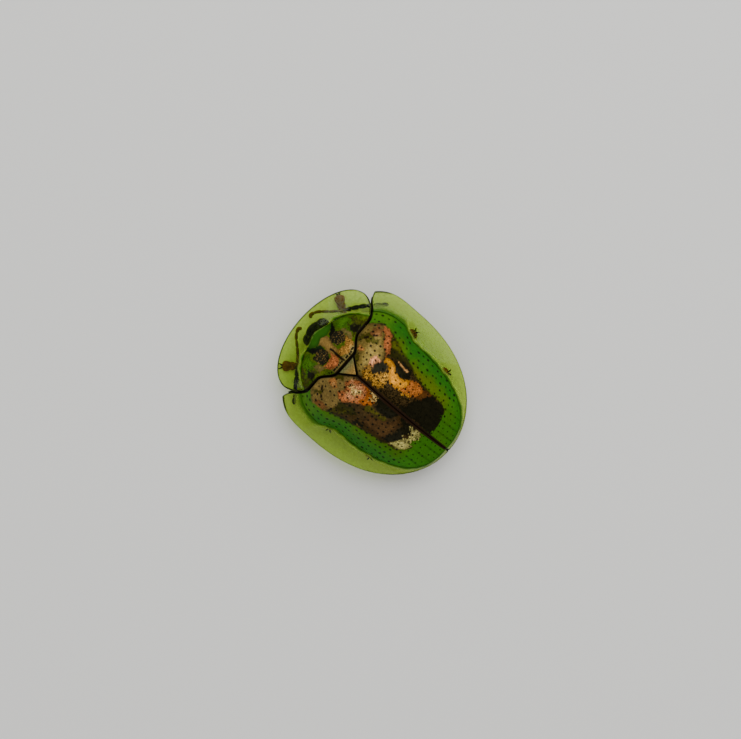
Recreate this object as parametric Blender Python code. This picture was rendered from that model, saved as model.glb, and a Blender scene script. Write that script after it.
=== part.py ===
"""Tortoise beetle, a still life-size model that stands on its six feet.

+Z up. The head points along -Y, the beetle's left side is +X, and the floor is z = 0.
The origin lies on the floor under the middle of the body. All lengths here are in millimetres, and
the finished meshes are made metres at the end.
"""

import math

import bmesh
import bpy
from mathutils import Matrix, Vector

METRES = 0.001

# Driving dimensions of the whole animal
GAP = 0.3
SHELL = 0.5
FRONT_Y = -6.5
REAR_Y = 6.5
RIM_TOP_Z = 1.5
BELLY_Z = 1.3

# Wing cases: the outline seen from above
RIM_HALF_WIDTH = 5.45
WIDEST_Y = -0.9
OUTLINE_POWER = 2.3
HUMERUS_X = 4.6
HUMERUS_ROUNDING = 4
BASE_Y = -2.33
BASE_INNER_STEP = (0.8, 1.2, 0.7)
BASE_OUTER_STEP = (2.9, 1.7, 1.05)

# Wing cases: the dome on its flat rim
APEX_Y = -0.7
DOME_HEIGHT = 3.0
DOME_POWER = 2.4
DISC_EDGE_Z = 2.1
DISC_HALF_WIDTH = 3.85
DISC_REAR_Y = 6.22
DISC_FRONT_RUN = 3.4
DISC_POWER = 2.65
SHOULDER_POWER = 3.0
SHOULDER_FLARE = 0.45
SHOULDER_FROM_Y = 0.2
SHOULDER_RUN = 1.5
CREASE = 0.12
CALLUS = (3.2, -2.2)
CALLUS_HEIGHT = 0.18
CALLUS_SPREAD = 0.6

# Scutellum, the small triangle between the wing cases
SCUTELLUM_HALF_WIDTH = 0.8
SCUTELLUM_TIP_Y = -1.24

# Pronotum, the clear-edged shield over the head
SHIELD_HALF_WIDTH = 4.05
SHIELD_CORNER_Y = -4.4
SHIELD_REAR_RUN = 1.4
SHIELD_LOBE = 0.7
SHIELD_ARCH = 0.35
SHIELD_RISE = 0.9
SHIELD_DISC_Y = -2.9
SHIELD_DISC_HALF_WIDTH = 3.0
SHIELD_DISC_RUN = 2.15
SHIELD_DISC_HEIGHT = (1.2, 2.1)
SHIELD_DISC_RAMP = (-5.0, 2.7)
BASE_DROP = 0.1
BASE_RISE_RUN = 1.7

# Mesh steps
WING_COLUMNS = 14
WING_ROWS = 28
WING_SHOULDER_SHARE = 0.3
WING_BASE_FADE = 0.35
SHIELD_COLUMNS = 28
SHIELD_ROWS = 12

# Colour, roughness and metallic value of each finish
COLOURS = {
    "copper": ((0.55, 0.25, 0.10), 0.30, 0.8),
    "dark_brown": ((0.05, 0.035, 0.02), 0.40, 0.0),
    "eye_black": ((0.02, 0.018, 0.015), 0.20, 0.0),
    "belly": ((0.28, 0.20, 0.07), 0.45, 0.0),
}


def clear_scene():
    """Remove every object that the file starts with."""
    for obj in list(bpy.data.objects):
        bpy.data.objects.remove(obj)


def material(name):
    """A Principled material with the named colour, roughness and metallic value."""
    found = bpy.data.materials.get(name)
    if found:
        return found
    colour, roughness, metallic = COLOURS[name]
    made = bpy.data.materials.new(name)
    made.use_nodes = True
    shader = made.node_tree.nodes["Principled BSDF"]
    shader.inputs["Base Color"].default_value = (*colour, 1.0)
    shader.inputs["Roughness"].default_value = roughness
    shader.inputs["Metallic"].default_value = metallic
    made.diffuse_color = (*colour, 1.0)
    return made


def smooth(t):
    """Smoothstep: 0 below 0, 1 above 1, with no corner between."""
    t = min(max(t, 0.0), 1.0)
    return t * t * (3 - 2 * t)


def power_length(a, b, power):
    """Distance from the middle of a superellipse, 1 on its outline."""
    return (abs(a) ** power + abs(b) ** power) ** (1 / power)


def soft_floor(value, width):
    """The value where it is above 0, easing into 0 below."""
    return 0.5 * (value + math.hypot(value, width))


def linked(name, mesh, finish):
    """A new object in the scene, shaded smooth except over sharp edges."""
    obj = bpy.data.objects.new(name, mesh)
    bpy.context.scene.collection.objects.link(obj)
    mesh.materials.clear()
    mesh.materials.append(material(finish))
    mesh.shade_smooth()
    mesh.set_sharp_from_angle(angle=math.radians(40))
    return obj


def applied(obj):
    """Put the result of an object's modifiers into its own mesh."""
    bpy.context.view_layer.update()
    graph = bpy.context.evaluated_depsgraph_get()
    mesh = bpy.data.meshes.new_from_object(obj.evaluated_get(graph))
    obj.modifiers.clear()
    obj.data = mesh
    return obj


def surface_grid(name, rows, finish):
    """A sheet through rows of points, with points that coincide made one."""
    bm = bmesh.new()
    grid = [[bm.verts.new(point) for point in row] for row in rows]
    for one, two in zip(grid, grid[1:]):
        for a, b, c, d in zip(one, one[1:], two[1:], two):
            bm.faces.new((a, b, c, d))
    bmesh.ops.remove_doubles(bm, verts=bm.verts, dist=0.01)
    bmesh.ops.recalc_face_normals(bm, faces=bm.faces)
    if sum(face.normal.z for face in bm.faces) < 0:
        bmesh.ops.reverse_faces(bm, faces=bm.faces)
    mesh = bpy.data.meshes.new(name)
    bm.to_mesh(mesh)
    bm.free()
    return linked(name, mesh, finish)


def plate(name, rows, finish):
    """A shell plate: the sheet is the outer face, and the wall goes inwards."""
    obj = surface_grid(name, rows, finish)
    wall = obj.modifiers.new("wall", "SOLIDIFY")
    wall.thickness = SHELL
    wall.offset = -1
    wall.use_even_offset = True
    return obj


def outline_x(y):
    """Half width of the wing cases' outline at y."""
    if y < WIDEST_Y:
        forward = (WIDEST_Y - y) / (WIDEST_Y - humerus_y())
        return RIM_HALF_WIDTH - (RIM_HALF_WIDTH - HUMERUS_X) * forward**HUMERUS_ROUNDING
    back = min((y - WIDEST_Y) / (REAR_Y - WIDEST_Y), 1.0)
    return RIM_HALF_WIDTH * math.sqrt(1 - back**OUTLINE_POWER)


def base_y(x):
    """The wavy line where the shield meets the wing cases, as y for a given x."""
    y = BASE_Y
    for start, run, depth in (BASE_INNER_STEP, BASE_OUTER_STEP):
        y -= depth * smooth((abs(x) - start) / run)
    return y


def humerus_y():
    """The front corner of a wing case."""
    return base_y(HUMERUS_X) + GAP / 2


def wing_front_y(x):
    """Front edge of a wing case: along the scutellum, then along the base line."""
    if x >= SCUTELLUM_HALF_WIDTH:
        return base_y(x) + GAP / 2
    along = x / SCUTELLUM_HALF_WIDTH
    return SCUTELLUM_TIP_Y + (BASE_Y - SCUTELLUM_TIP_Y) * along + GAP / 2


def disc_radius(x, y):
    """1 on the line where the dome meets the rim, less inside it."""
    flare = smooth((SHOULDER_FROM_Y - y) / SHOULDER_RUN)
    across = x / (DISC_HALF_WIDTH + SHOULDER_FLARE * flare)
    if y > APEX_Y:
        return power_length(across, (y - APEX_Y) / (DISC_REAR_Y - APEX_Y), DISC_POWER)
    return power_length(across, (APEX_Y - y) / DISC_FRONT_RUN, SHOULDER_POWER)


def outline_radius(x, y):
    """1 on the outer edge of the wing cases, less inside it."""
    if y < WIDEST_Y:
        return abs(x) / outline_x(y)
    back = (y - WIDEST_Y) / (REAR_Y - WIDEST_Y)
    return power_length(x / RIM_HALF_WIDTH, back, OUTLINE_POWER)


def wing_top(x, y):
    """Height of the wing cases: a dome, a soft crease, and a rim that falls to its edge."""
    radius = disc_radius(x, y)
    beyond = max(radius - 1, 0.0)
    inside = max(1 - outline_radius(x, y), 0.0)
    share = beyond / (beyond + inside) if beyond > 0 else 0.0
    rim = DISC_EDGE_Z + (RIM_TOP_Z - DISC_EDGE_Z) * share
    dome = DOME_HEIGHT * soft_floor(1 - radius**DOME_POWER, CREASE)
    away = ((abs(x) - CALLUS[0]) ** 2 + (y - CALLUS[1]) ** 2) / CALLUS_SPREAD**2
    return rim + dome + CALLUS_HEIGHT * math.exp(-away)


def wing_point(u, v, side):
    """A point of a wing case: u from the suture to the outer edge, v from base to rear."""
    if v < WING_SHOULDER_SHARE:
        edge_y = humerus_y() + (WIDEST_Y - humerus_y()) * v / WING_SHOULDER_SHARE
    else:
        turn = math.pi / 2 * (v - WING_SHOULDER_SHARE) / (1 - WING_SHOULDER_SHARE)
        edge_y = WIDEST_Y + (REAR_Y - WIDEST_Y) * math.sin(turn)
    edge_x = max(outline_x(edge_y), GAP / 2)
    suture_y = wing_front_y(0) + (REAR_Y - wing_front_y(0)) * v
    base_bend = (wing_front_y(u * HUMERUS_X) - wing_front_y(0)) / (humerus_y() - wing_front_y(0))
    even_bend = smooth(v / WING_BASE_FADE)
    bend = (1 - even_bend) * base_bend + even_bend * u * u
    x = GAP / 2 + u * (edge_x - GAP / 2)
    y = suture_y + (edge_y - suture_y) * bend
    return Vector((side * x, y, wing_top(x, y)))


def wing_case(name, side):
    """One wing case, from the suture and the base line out to the rim."""
    notch = SCUTELLUM_HALF_WIDTH / HUMERUS_X
    columns = [0.0, notch / 2]
    columns += [notch + (1 - notch) * i / (WING_COLUMNS - 2) for i in range(WING_COLUMNS - 1)]
    rows = []
    for row in range(WING_ROWS + 1):
        v = row / WING_ROWS
        rows.append([wing_point(u, v, side) for u in columns])
    return plate(name, rows, "copper")


def shield_rear_y(x):
    """Hind edge of the shield, rounded off at its two corners."""
    corner = math.sqrt(max(1 - (abs(x) / SHIELD_HALF_WIDTH) ** 6, 0.0))
    start, run, depth = BASE_INNER_STEP
    lobe = SHIELD_LOBE * (1 - smooth((abs(x) - start) / run)) * smooth(corner * 2)
    return SHIELD_CORNER_Y + (SHIELD_REAR_RUN - GAP / 2) * corner + lobe


def shield_front_y(x):
    """Front edge of the shield, half an ellipse."""
    across = min(abs(x) / SHIELD_HALF_WIDTH, 1.0)
    return SHIELD_CORNER_Y + (FRONT_Y - SHIELD_CORNER_Y) * math.sqrt(1 - across**2)


def hood_and_disc(x, y):
    """Height of the shield on its own: a hood arched at the front, with a raised disc behind it."""
    across = x / SHIELD_HALF_WIDTH
    forward = min(y - SHIELD_CORNER_Y, 0.0) / (FRONT_Y - SHIELD_CORNER_Y)
    hood = RIM_TOP_Z + SHIELD_ARCH * forward**2
    hood += SHIELD_RISE * max(1 - across**2 - forward**2, 0.0)
    ahead = min(y - SHIELD_DISC_Y, 0.0) / SHIELD_DISC_RUN
    inside = max(1 - (x / SHIELD_DISC_HALF_WIDTH) ** 2 - ahead**2, 0.0)
    low, high = SHIELD_DISC_HEIGHT
    start, run = SHIELD_DISC_RAMP
    height = low + (high - low) * smooth((y - start) / run)
    return hood + height * inside**1.3


def shield_top(x, y):
    """Height of the shield, raised towards its hind edge to lie level with the wing cases."""
    rear = shield_rear_y(x)
    corner = math.sqrt(max(1 - (abs(x) / SHIELD_HALF_WIDTH) ** 6, 0.0))
    missing = wing_top(x, base_y(x)) - BASE_DROP - hood_and_disc(x, rear)
    return hood_and_disc(x, y) + missing * corner * smooth(1 - (rear - y) / BASE_RISE_RUN)


def shield(name):
    """The pronotum, one plate from side to side."""
    columns = []
    for column in range(SHIELD_COLUMNS + 1):
        x = SHIELD_HALF_WIDTH * math.sin(math.pi * (column / SHIELD_COLUMNS - 0.5))
        front, rear = shield_front_y(x), shield_rear_y(x)
        steps = [front + (rear - front) * i / SHIELD_ROWS for i in range(SHIELD_ROWS + 1)]
        columns.append([Vector((x, y, shield_top(x, y))) for y in steps])
    return plate(name, columns, "copper")


def scutellum(name):
    """The small triangle in the notch behind the shield."""
    half = SCUTELLUM_HALF_WIDTH - 0.7 * GAP
    base = shield_rear_y(0) + GAP
    tip = SCUTELLUM_TIP_Y - GAP
    rows = []
    for i in range(5):
        along = i / 4
        y = base + (tip - base) * along
        width = half * (1 - along) ** 0.8
        xs = [-width, -width / 2, 0.0, width / 2, width]
        rows.append([Vector((x, y, wing_top(x, y))) for x in xs])
    return plate(name, rows, "copper")


def back_top(x, y):
    """Height of the beetle's back at any point, over shield and wing cases alike."""
    return shield_top(x, y) if y < base_y(x) else wing_top(x, y)


def under_back(x, y, depth):
    """The back's surface moved inwards by depth, by rolling a ball of that radius under it."""
    lowest = back_top(x, y) - depth
    for ring in (0.45, 0.8, 0.97):
        drop = depth * math.sqrt(1 - ring**2)
        for step in range(12):
            turn = math.tau * step / 12
            reach = depth * ring
            top = back_top(x + reach * math.cos(turn), y + reach * math.sin(turn))
            lowest = min(lowest, top - drop)
    return lowest


def lathe_body(name, sections, sides, finish):
    """A closed body through rings of points, with a fan at each end."""
    bm = bmesh.new()
    rings = [[bm.verts.new(point) for point in ring] for ring in sections]
    for one, two in zip(rings, rings[1:]):
        for i in range(sides):
            j = (i + 1) % sides
            bm.faces.new((one[i], one[j], two[j], two[i]))
    for ring in (rings[0], rings[-1]):
        centre = sum((v.co for v in ring), Vector()) / sides
        hub = bm.verts.new(centre)
        for i in range(sides):
            bm.faces.new((ring[i], ring[(i + 1) % sides], hub))
    bmesh.ops.recalc_face_normals(bm, faces=bm.faces)
    if bm.calc_volume(signed=True) < 0:
        bmesh.ops.reverse_faces(bm, faces=bm.faces)
    mesh = bpy.data.meshes.new(name)
    bm.to_mesh(mesh)
    bm.free()
    return linked(name, mesh, finish)


def trunk(name, y_from, y_to, half_width, sides, rings, grooves=0):
    """A part of the trunk: flat belly, rounded flanks, and a top that fills the space under the back.

    half_width gives the trunk's half width at y. Grooves are the lines between belly plates.
    """
    flank_z = BELLY_Z + 0.45
    sections = []
    for ring in range(rings + 1):
        along = ring / rings
        y = y_from + (y_to - y_from) * along
        end = math.sqrt(max(1 - abs(2 * along - 1) ** 8, 0.0))
        width = half_width(y) * (0.86 + 0.14 * end)
        groove = 0.0
        if grooves and 0 < along < 1:
            groove = 0.12 * max(math.cos(math.tau * grooves * along), 0.0) ** 6
        points = []
        for side in range(sides):
            turn = math.tau * side / sides
            x = width * math.cos(turn)
            lift = math.sin(turn)
            if lift > 0:
                roof = under_back(x, y, SHELL + GAP + 0.08)
                z = flank_z + (roof - flank_z) * lift**0.5
            else:
                z = flank_z + (flank_z - BELLY_Z - groove) * math.copysign(abs(lift) ** 0.6, lift)
            points.append(Vector((x, y, z)))
        sections.append(points)
    return lathe_body(name, sections, sides, "belly")


def curve_through(points, steps):
    """Points along a Catmull-Rom curve through the given ones."""
    ends = [2 * points[0] - points[1], *points, 2 * points[-1] - points[-2]]
    found = []
    for i in range(len(points) - 1):
        a, b, c, d = ends[i : i + 4]
        for k in range(steps):
            t = k / steps
            found.append(
                0.5
                * (
                    2 * b
                    + (c - a) * t
                    + (2 * a - 5 * b + 4 * c - d) * t**2
                    + (3 * b - a - 3 * c + d) * t**3
                )
            )
    return found + [points[-1].copy()]


def tube(name, path, radii, sides, finish, flatten=1.0):
    """A closed tube along a path with a radius at each point, and a low cap at each end."""
    sections = []
    up = Vector((0, 0, 1))
    for i, point in enumerate(path):
        ahead = (path[min(i + 1, len(path) - 1)] - path[max(i - 1, 0)]).normalized()
        across = ahead.cross(up).normalized()
        over = across.cross(ahead).normalized()
        ring = []
        for side in range(sides):
            turn = math.tau * side / sides
            spread = across * math.cos(turn) + over * math.sin(turn) * flatten
            ring.append(point + spread * radii[i])
        sections.append(ring)
    return lathe_body(name, sections, sides, finish)


def ball(name, centre, sizes, finish, segments=12, rings=8, turn=0.0):
    """An ellipsoid with the given half sizes, turned about the vertical."""
    bm = bmesh.new()
    bmesh.ops.create_uvsphere(bm, u_segments=segments, v_segments=rings, radius=1.0)
    place = Matrix.Translation(centre) @ Matrix.Rotation(turn, 4, "Z")
    bm.transform(place @ Matrix.Diagonal((*sizes, 1.0)))
    mesh = bpy.data.meshes.new(name)
    bm.to_mesh(mesh)
    bm.free()
    return linked(name, mesh, finish)


def largest_surface(obj):
    """Keep only the largest closed surface of a mesh."""
    bm = bmesh.new()
    bm.from_mesh(obj.data)
    left = set(bm.verts)
    islands = []
    while left:
        island = set()
        reach = [left.pop()]
        while reach:
            vert = reach.pop()
            island.add(vert)
            for edge in vert.link_edges:
                other = edge.other_vert(vert)
                if other in left:
                    left.remove(other)
                    reach.append(other)
        islands.append(island)
    islands.sort(key=len, reverse=True)
    loose = [vert for island in islands[1:] for vert in island]
    bmesh.ops.delete(bm, geom=loose, context="VERTS")
    bm.to_mesh(obj.data)
    bm.free()
    return obj


def fused(name, pieces, finish, solver="EXACT"):
    """One closed body from overlapping pieces, by one union on their collection."""
    base, *others = pieces
    group = bpy.data.collections.new(name + "_pieces")
    for piece in others:
        group.objects.link(piece)
    union = base.modifiers.new("union", "BOOLEAN")
    union.operation = "UNION"
    union.operand_type = "COLLECTION"
    union.solver = solver
    union.collection = group
    applied(base)
    for piece in others:
        bpy.data.objects.remove(piece)
    bpy.data.collections.remove(group)
    base.name = name
    base.data.materials.clear()
    base.data.materials.append(material(finish))
    return largest_surface(base)


def cut_by(obj, cutter):
    """Cut a piece by a helper shape, which is then removed."""
    cut = obj.modifiers.new("cut", "BOOLEAN")
    cut.operation = "DIFFERENCE"
    cut.object = cutter
    applied(obj)
    bpy.data.objects.remove(cutter)
    return largest_surface(obj)


def floor_slab():
    """A block whose top is the floor, to give the feet their flats."""
    bm = bmesh.new()
    bmesh.ops.create_cube(bm, size=1.0)
    thick = 2
    bm.transform(Matrix.Translation((0, 0, -thick / 2)) @ Matrix.Diagonal((20, 20, thick, 1)))
    mesh = bpy.data.meshes.new("floor_slab")
    bm.to_mesh(mesh)
    bm.free()
    return linked("floor_slab", mesh, "belly")


# Head and eyes
HEAD_CENTRE = Vector((0, -5.12, 0.96))
HEAD_SIZES = (0.80, 0.64, 0.54)
EYE_OFFSET = Vector((0.64, 0.0, 0.02))
EYE_SIZES = (0.46, 0.48, 0.48)


def head(name):
    """The head hangs under the hood, with a mouth cone and two short feelers below."""
    skull = ball("skull", HEAD_CENTRE, HEAD_SIZES, "dark_brown", 20, 14)
    mouth_at = HEAD_CENTRE + Vector((0, -0.12, -0.36))
    mouth = ball("mouth", mouth_at, (0.42, 0.36, 0.32), "dark_brown", 14, 10)
    pieces = [skull, mouth]
    for side in (-1, 1):
        root = mouth_at + Vector((side * 0.22, -0.1, -0.06))
        tip = root + Vector((side * 0.12, -0.36, -0.02))
        path = [root, root.lerp(tip, 0.5), tip]
        radii = [0.16, 0.17, 0.08]
        pieces.append(tube("palp", path, radii, 8, "dark_brown"))
    return fused(name, pieces, "dark_brown")


def eye(name, side):
    """A large oval eye that caps the side of the head."""
    offset = Vector((side * EYE_OFFSET.x, EYE_OFFSET.y, EYE_OFFSET.z))
    globe = ball(name, HEAD_CENTRE + offset, EYE_SIZES, "eye_black", 18, 12)
    spread = [size + 0.75 * GAP for size in HEAD_SIZES]
    return cut_by(globe, ball("head_room", HEAD_CENTRE, spread, "belly", 24, 16))


# Antennae: points of the left one, x outwards, and the sizes of its eleven joints
ANTENNA_ROUTE = (
    (0.46, -5.98, 0.94),
    (0.62, -6.16, 0.95),
    (1.08, -5.94, 1.01),
    (1.68, -5.30, 1.04),
    (2.24, -4.78, 1.10),
    (2.86, -4.30, 0.92),
    (3.72, -3.70, 0.56),
    (4.62, -3.10, 0.46),
)
RIGHT_ANTENNA_SHIFT = ((6, (-0.10, 0.06, 0.0)), (7, (-0.14, 0.32, 0.0)))
ANTENNA_JOINTS = 11
ANTENNA_RADII = (0.25, 0.28)


def antenna_path(side):
    """The curve that an antenna follows, out from the head and back under the rim."""
    route = [Vector(point) for point in ANTENNA_ROUTE]
    if side < 0:
        for index, shift in RIGHT_ANTENNA_SHIFT:
            route[index] += Vector(shift)
    points = [Vector((side * p.x, p.y, p.z)) for p in route]
    return curve_through(points, 12)


def even_steps(path, count):
    """Count + 1 points at even distances along a path."""
    lengths = [0.0]
    for one, two in zip(path, path[1:]):
        lengths.append(lengths[-1] + (two - one).length)
    found, at = [], 0
    for i in range(count + 1):
        want = lengths[-1] * i / count
        while at < len(path) - 2 and lengths[at + 1] < want:
            at += 1
        share = (want - lengths[at]) / (lengths[at + 1] - lengths[at])
        found.append(path[at].lerp(path[at + 1], min(share, 1.0)))
    return found


def antenna(name, side):
    """Eleven joints, each a bead that narrows at both ends; the last five are the club."""
    rings_each = 4
    count = ANTENNA_JOINTS * rings_each
    path = even_steps(antenna_path(side), count)
    thin, thick = ANTENNA_RADII
    radii = []
    for i in range(count + 1):
        along = i / count
        waist = 1 - 0.22 * (math.cos(math.tau * i / rings_each) * 0.5 + 0.5)
        tip = math.sqrt(max(1 - max(along - 0.93, 0) / 0.075, 0.12))
        radii.append((thin + (thick - thin) * smooth((along - 0.5) / 0.2)) * waist * tip)
    return tube(name, path, radii, 8, "dark_brown")


# Legs: hip, knee, ankle and toe of each leg, x outwards, with the knee's and ankle's height
MID_LEG = ((1.05, -1.20), (2.75, -1.75, 0.70), (3.05, -0.55, 0.40), (4.28, -0.30))
LEG_ROUTES = {
    "front_left": ((0.75, -3.45), (2.05, -3.35, 0.64), (2.42, -4.44, 0.30), (3.24, -5.38)),
    "front_right": ((0.75, -3.45), (2.05, -3.35, 0.64), (2.02, -4.58, 0.34), (2.74, -5.70)),
    "mid_left": MID_LEG,
    "mid_right": MID_LEG,
    "hind_left": ((1.10, 0.50), (2.75, 0.80, 0.70), (2.85, 2.25, 0.40), (3.88, 2.95)),
    "hind_right": ((1.10, 0.50), (2.75, 0.80, 0.70), (2.80, 2.30, 0.40), (3.68, 3.10)),
}
COXA_RADIUS = 0.36
COXA_Z = BELLY_Z - GAP - COXA_RADIUS
TOE_Z = 0.2
FEMUR_RADII = (0.26, 0.33, 0.25)
TIBIA_RADII = (0.25, 0.25, 0.28)
PAD_SIZES = ((0.30, 0.26), (0.28, 0.30), (0.30, 0.34))
PAD_HEIGHT = 0.28
CLAW_LENGTH = 0.24


def limb(name, start, end, radii):
    """A straight joint of a leg that swells or tapers along its length."""
    path = [start.lerp(end, i / 4) for i in range(5)]
    first, middle, last = radii
    sizes = [first, (first + middle) / 2, middle, (middle + last) / 2, last]
    return tube(name, path, sizes, 10, "dark_brown")


def foot(ankle, toe):
    """Three broad pads, a claw joint and two claws, from the ankle out to the toe."""
    ahead = Vector((toe.x - ankle.x, toe.y - ankle.y, 0))
    reach = ahead.length
    ahead.normalize()
    across = Vector((-ahead.y, ahead.x, 0))
    turn = math.atan2(ahead.y, ahead.x)
    pieces = []
    for i, (length, width) in enumerate(PAD_SIZES):
        centre = Vector((ankle.x, ankle.y, 0.16)) + ahead * reach * (0.1 + 0.27 * i)
        sizes = (length, width, PAD_HEIGHT)
        pieces.append(ball("pad", centre, sizes, "dark_brown", 12, 8, turn))
    last = Vector((toe.x, toe.y, toe.z + 0.04))
    root = last - ahead * 0.5
    pieces.append(tube("claw_joint", [root, root.lerp(last, 0.5), last], [0.16] * 3, 8, "dark_brown"))
    for side in (-1, 1):
        tip = last + ahead * CLAW_LENGTH + across * side * 0.18 - Vector((0, 0, 0.14))
        start = last - ahead * 0.11 + across * side * 0.03
        path = [start, start.lerp(tip, 0.55) + Vector((0, 0, 0.04)), tip]
        pieces.append(tube("claw", path, [0.12, 0.09, 0.03], 6, "dark_brown"))
    return pieces


def leg(name, route, side):
    """A whole leg: coxa, femur, tibia and foot, fused, with flats where it meets the floor."""
    hip, knee, ankle, toe = route
    places = ((*hip, COXA_Z), knee, ankle, (*toe, TOE_Z))
    coxa, knee, ankle, toe = (Vector((side * x, y, z)) for x, y, z in places)
    pieces = [ball("coxa", coxa, (COXA_RADIUS,) * 3, "dark_brown", 12, 8)]
    pieces.append(limb("femur", coxa, knee, FEMUR_RADII))
    pieces.append(ball("knee", knee, (FEMUR_RADII[2] * 1.08,) * 3, "dark_brown", 10, 8))
    pieces.append(limb("tibia", knee, ankle, TIBIA_RADII))
    pieces += foot(ankle, toe)
    return cut_by(fused(name, pieces, "dark_brown", "MANIFOLD"), floor_slab())


# Trunk: where its three parts begin and end, and their half widths
PROTHORAX_Y = (-4.15, -2.95)
THORAX_Y = (-2.65, 0.95)
ABDOMEN_Y = (THORAX_Y[1] + GAP, 5.35)
PROTHORAX_HALF_WIDTH = 1.8
TRUNK_HALF_WIDTH = 2.75
ABDOMEN_TAPER = 0.93
ABDOMEN_POWER = 2.4
BELLY_PLATES = 5


def prothorax_width(y):
    """Half width of the part of the trunk under the shield."""
    return PROTHORAX_HALF_WIDTH


def thorax_width(y):
    """Half width of the middle of the trunk."""
    return TRUNK_HALF_WIDTH


def abdomen_width(y):
    """Half width of the abdomen, narrowing to its round end."""
    start, end = ABDOMEN_Y
    along = ABDOMEN_TAPER * (y - start) / (end - start)
    return TRUNK_HALF_WIDTH * math.sqrt(max(1 - along**ABDOMEN_POWER, 0.0))


def build():
    """Every node of the beetle."""
    clear_scene()
    shield("pronotum")
    scutellum("scutellum")
    head("head")
    trunk("prothorax", *PROTHORAX_Y, prothorax_width, 20, 7)
    trunk("thorax", *THORAX_Y, thorax_width, 22, 8)
    trunk("abdomen", *ABDOMEN_Y, abdomen_width, 22, 20, grooves=BELLY_PLATES)
    for side, word in ((1, "left"), (-1, "right")):
        wing_case("elytron_" + word, side)
        eye("eye_" + word, side)
        antenna("antenna_" + word, side)
    for place, route in LEG_ROUTES.items():
        leg("leg_" + place, route, 1 if place.endswith("left") else -1)
    for obj in bpy.context.scene.objects:
        applied(obj).data.transform(Matrix.Scale(METRES, 4))


build()
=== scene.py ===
"""Tortoise beetle: the finished look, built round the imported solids.

+Z up, the head points along -Y and the beetle's left side is +X. Every length below is in
millimetres, and add_piece turns the finished points into metres.
"""

import math

import bmesh
import bpy
import numpy as np
from mathutils import Matrix, Vector


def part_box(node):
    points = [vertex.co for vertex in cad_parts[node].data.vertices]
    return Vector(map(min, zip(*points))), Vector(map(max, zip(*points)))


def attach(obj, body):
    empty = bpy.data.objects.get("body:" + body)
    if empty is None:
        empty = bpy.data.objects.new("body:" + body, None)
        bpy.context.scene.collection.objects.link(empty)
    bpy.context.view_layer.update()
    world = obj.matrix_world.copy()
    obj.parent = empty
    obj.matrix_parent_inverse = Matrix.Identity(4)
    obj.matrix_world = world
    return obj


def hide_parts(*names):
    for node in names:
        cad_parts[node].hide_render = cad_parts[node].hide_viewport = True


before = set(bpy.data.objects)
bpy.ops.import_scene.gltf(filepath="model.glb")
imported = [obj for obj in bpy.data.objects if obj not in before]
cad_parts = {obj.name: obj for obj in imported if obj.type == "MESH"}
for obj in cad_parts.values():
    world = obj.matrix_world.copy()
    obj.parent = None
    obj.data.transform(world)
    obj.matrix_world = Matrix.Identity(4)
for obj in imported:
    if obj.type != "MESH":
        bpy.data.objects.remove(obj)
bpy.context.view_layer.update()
MM = 0.001
SIDES = (("left", 1), ("right", -1))
NOISE_CELLS = 64


def node_box(node):
    """Lowest and highest corner of a solid, in millimetres."""
    low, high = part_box(node)
    return np.array(low) / MM, np.array(high) / MM


# Reach of the body, read from the solids
FRONT_Y = node_box("pronotum")[0][1]
REAR_Y = node_box("elytron_left")[1][1]
RIM_HALF_WIDTH = node_box("elytron_left")[1][0]
SHIELD_HALF_WIDTH = node_box("pronotum")[1][0]

# Wing cases: outline, base line and dome
WIDEST_Y = -0.9
OUTLINE_POWER = 2.3
HUMERUS_X = 4.6
HUMERUS_ROUNDING = 4
BASE_Y = -2.33
BASE_STEPS = ((0.8, 1.2, 0.7), (2.9, 1.7, 1.05))
RIM_TOP_Z = 1.5
APEX_Y = -0.7
DOME_HEIGHT = 3.0
DOME_POWER = 2.4
DISC_EDGE_Z = 2.1
DISC_HALF_WIDTH = 3.85
DISC_REAR_Y = 6.22
DISC_FRONT_RUN = 3.4
DISC_POWER = 2.65
SHOULDER_POWER = 3.0
SHOULDER_FLARE = 0.45
SHOULDER_FROM_Y = 0.2
SHOULDER_RUN = 1.5
CREASE = 0.07
CALLUS = (3.2, -2.2)
CALLUS_HEIGHT = 0.18
CALLUS_SPREAD = 0.6
DISC_WALL = 0.3
SHIELD_WALL = 0.24
RIM_WALL = 0.2
EDGE_ROUNDING = 0.45
SEAM = 0.002
SCUTELLUM_HALF_WIDTH = 0.8
SCUTELLUM_TIP_Y = -1.24

# Pronotum: the hood and its raised disc
SHIELD_CORNER_Y = -4.4
SHIELD_REAR_RUN = 1.4
SHIELD_LOBE = 0.7
SHIELD_ARCH = 0.35
SHIELD_RISE = 0.9
SHIELD_DISC_Y = -2.9
SHIELD_DISC_HALF_WIDTH = 3.0
SHIELD_DISC_RUN = 2.15
SHIELD_DISC_HEIGHT = (1.2, 2.1)
SHIELD_DISC_RAMP = (-5.0, 2.7)
BASE_DROP = 0.1
BASE_RISE_RUN = 1.7
BASE_GAP = 0.04
CLOSED_TO_X = 3.5
CLOSED_FADE = 0.4
CLOSED_GAP = 0.005


def smooth(t):
    """Smoothstep of an array: 0 below 0, 1 above 1."""
    t = np.clip(t, 0.0, 1.0)
    return t * t * (3 - 2 * t)


def band(distance, width, soft):
    """1 where a distance is under a width and 0 beyond, eased over a soft edge."""
    return smooth((width - distance) / soft + 0.5)


def round_off(t, power):
    """sqrt(1 - |t|^p): 1 in the middle, falling to 0 where t is -1 or 1."""
    return np.sqrt(np.clip(1 - np.abs(t) ** power, 0, 1))


def power_length(a, b, power):
    """Distance from the middle of a superellipse: (|a|^p + |b|^p)^(1/p)."""
    return (np.abs(a) ** power + np.abs(b) ** power) ** (1 / power)


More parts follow.
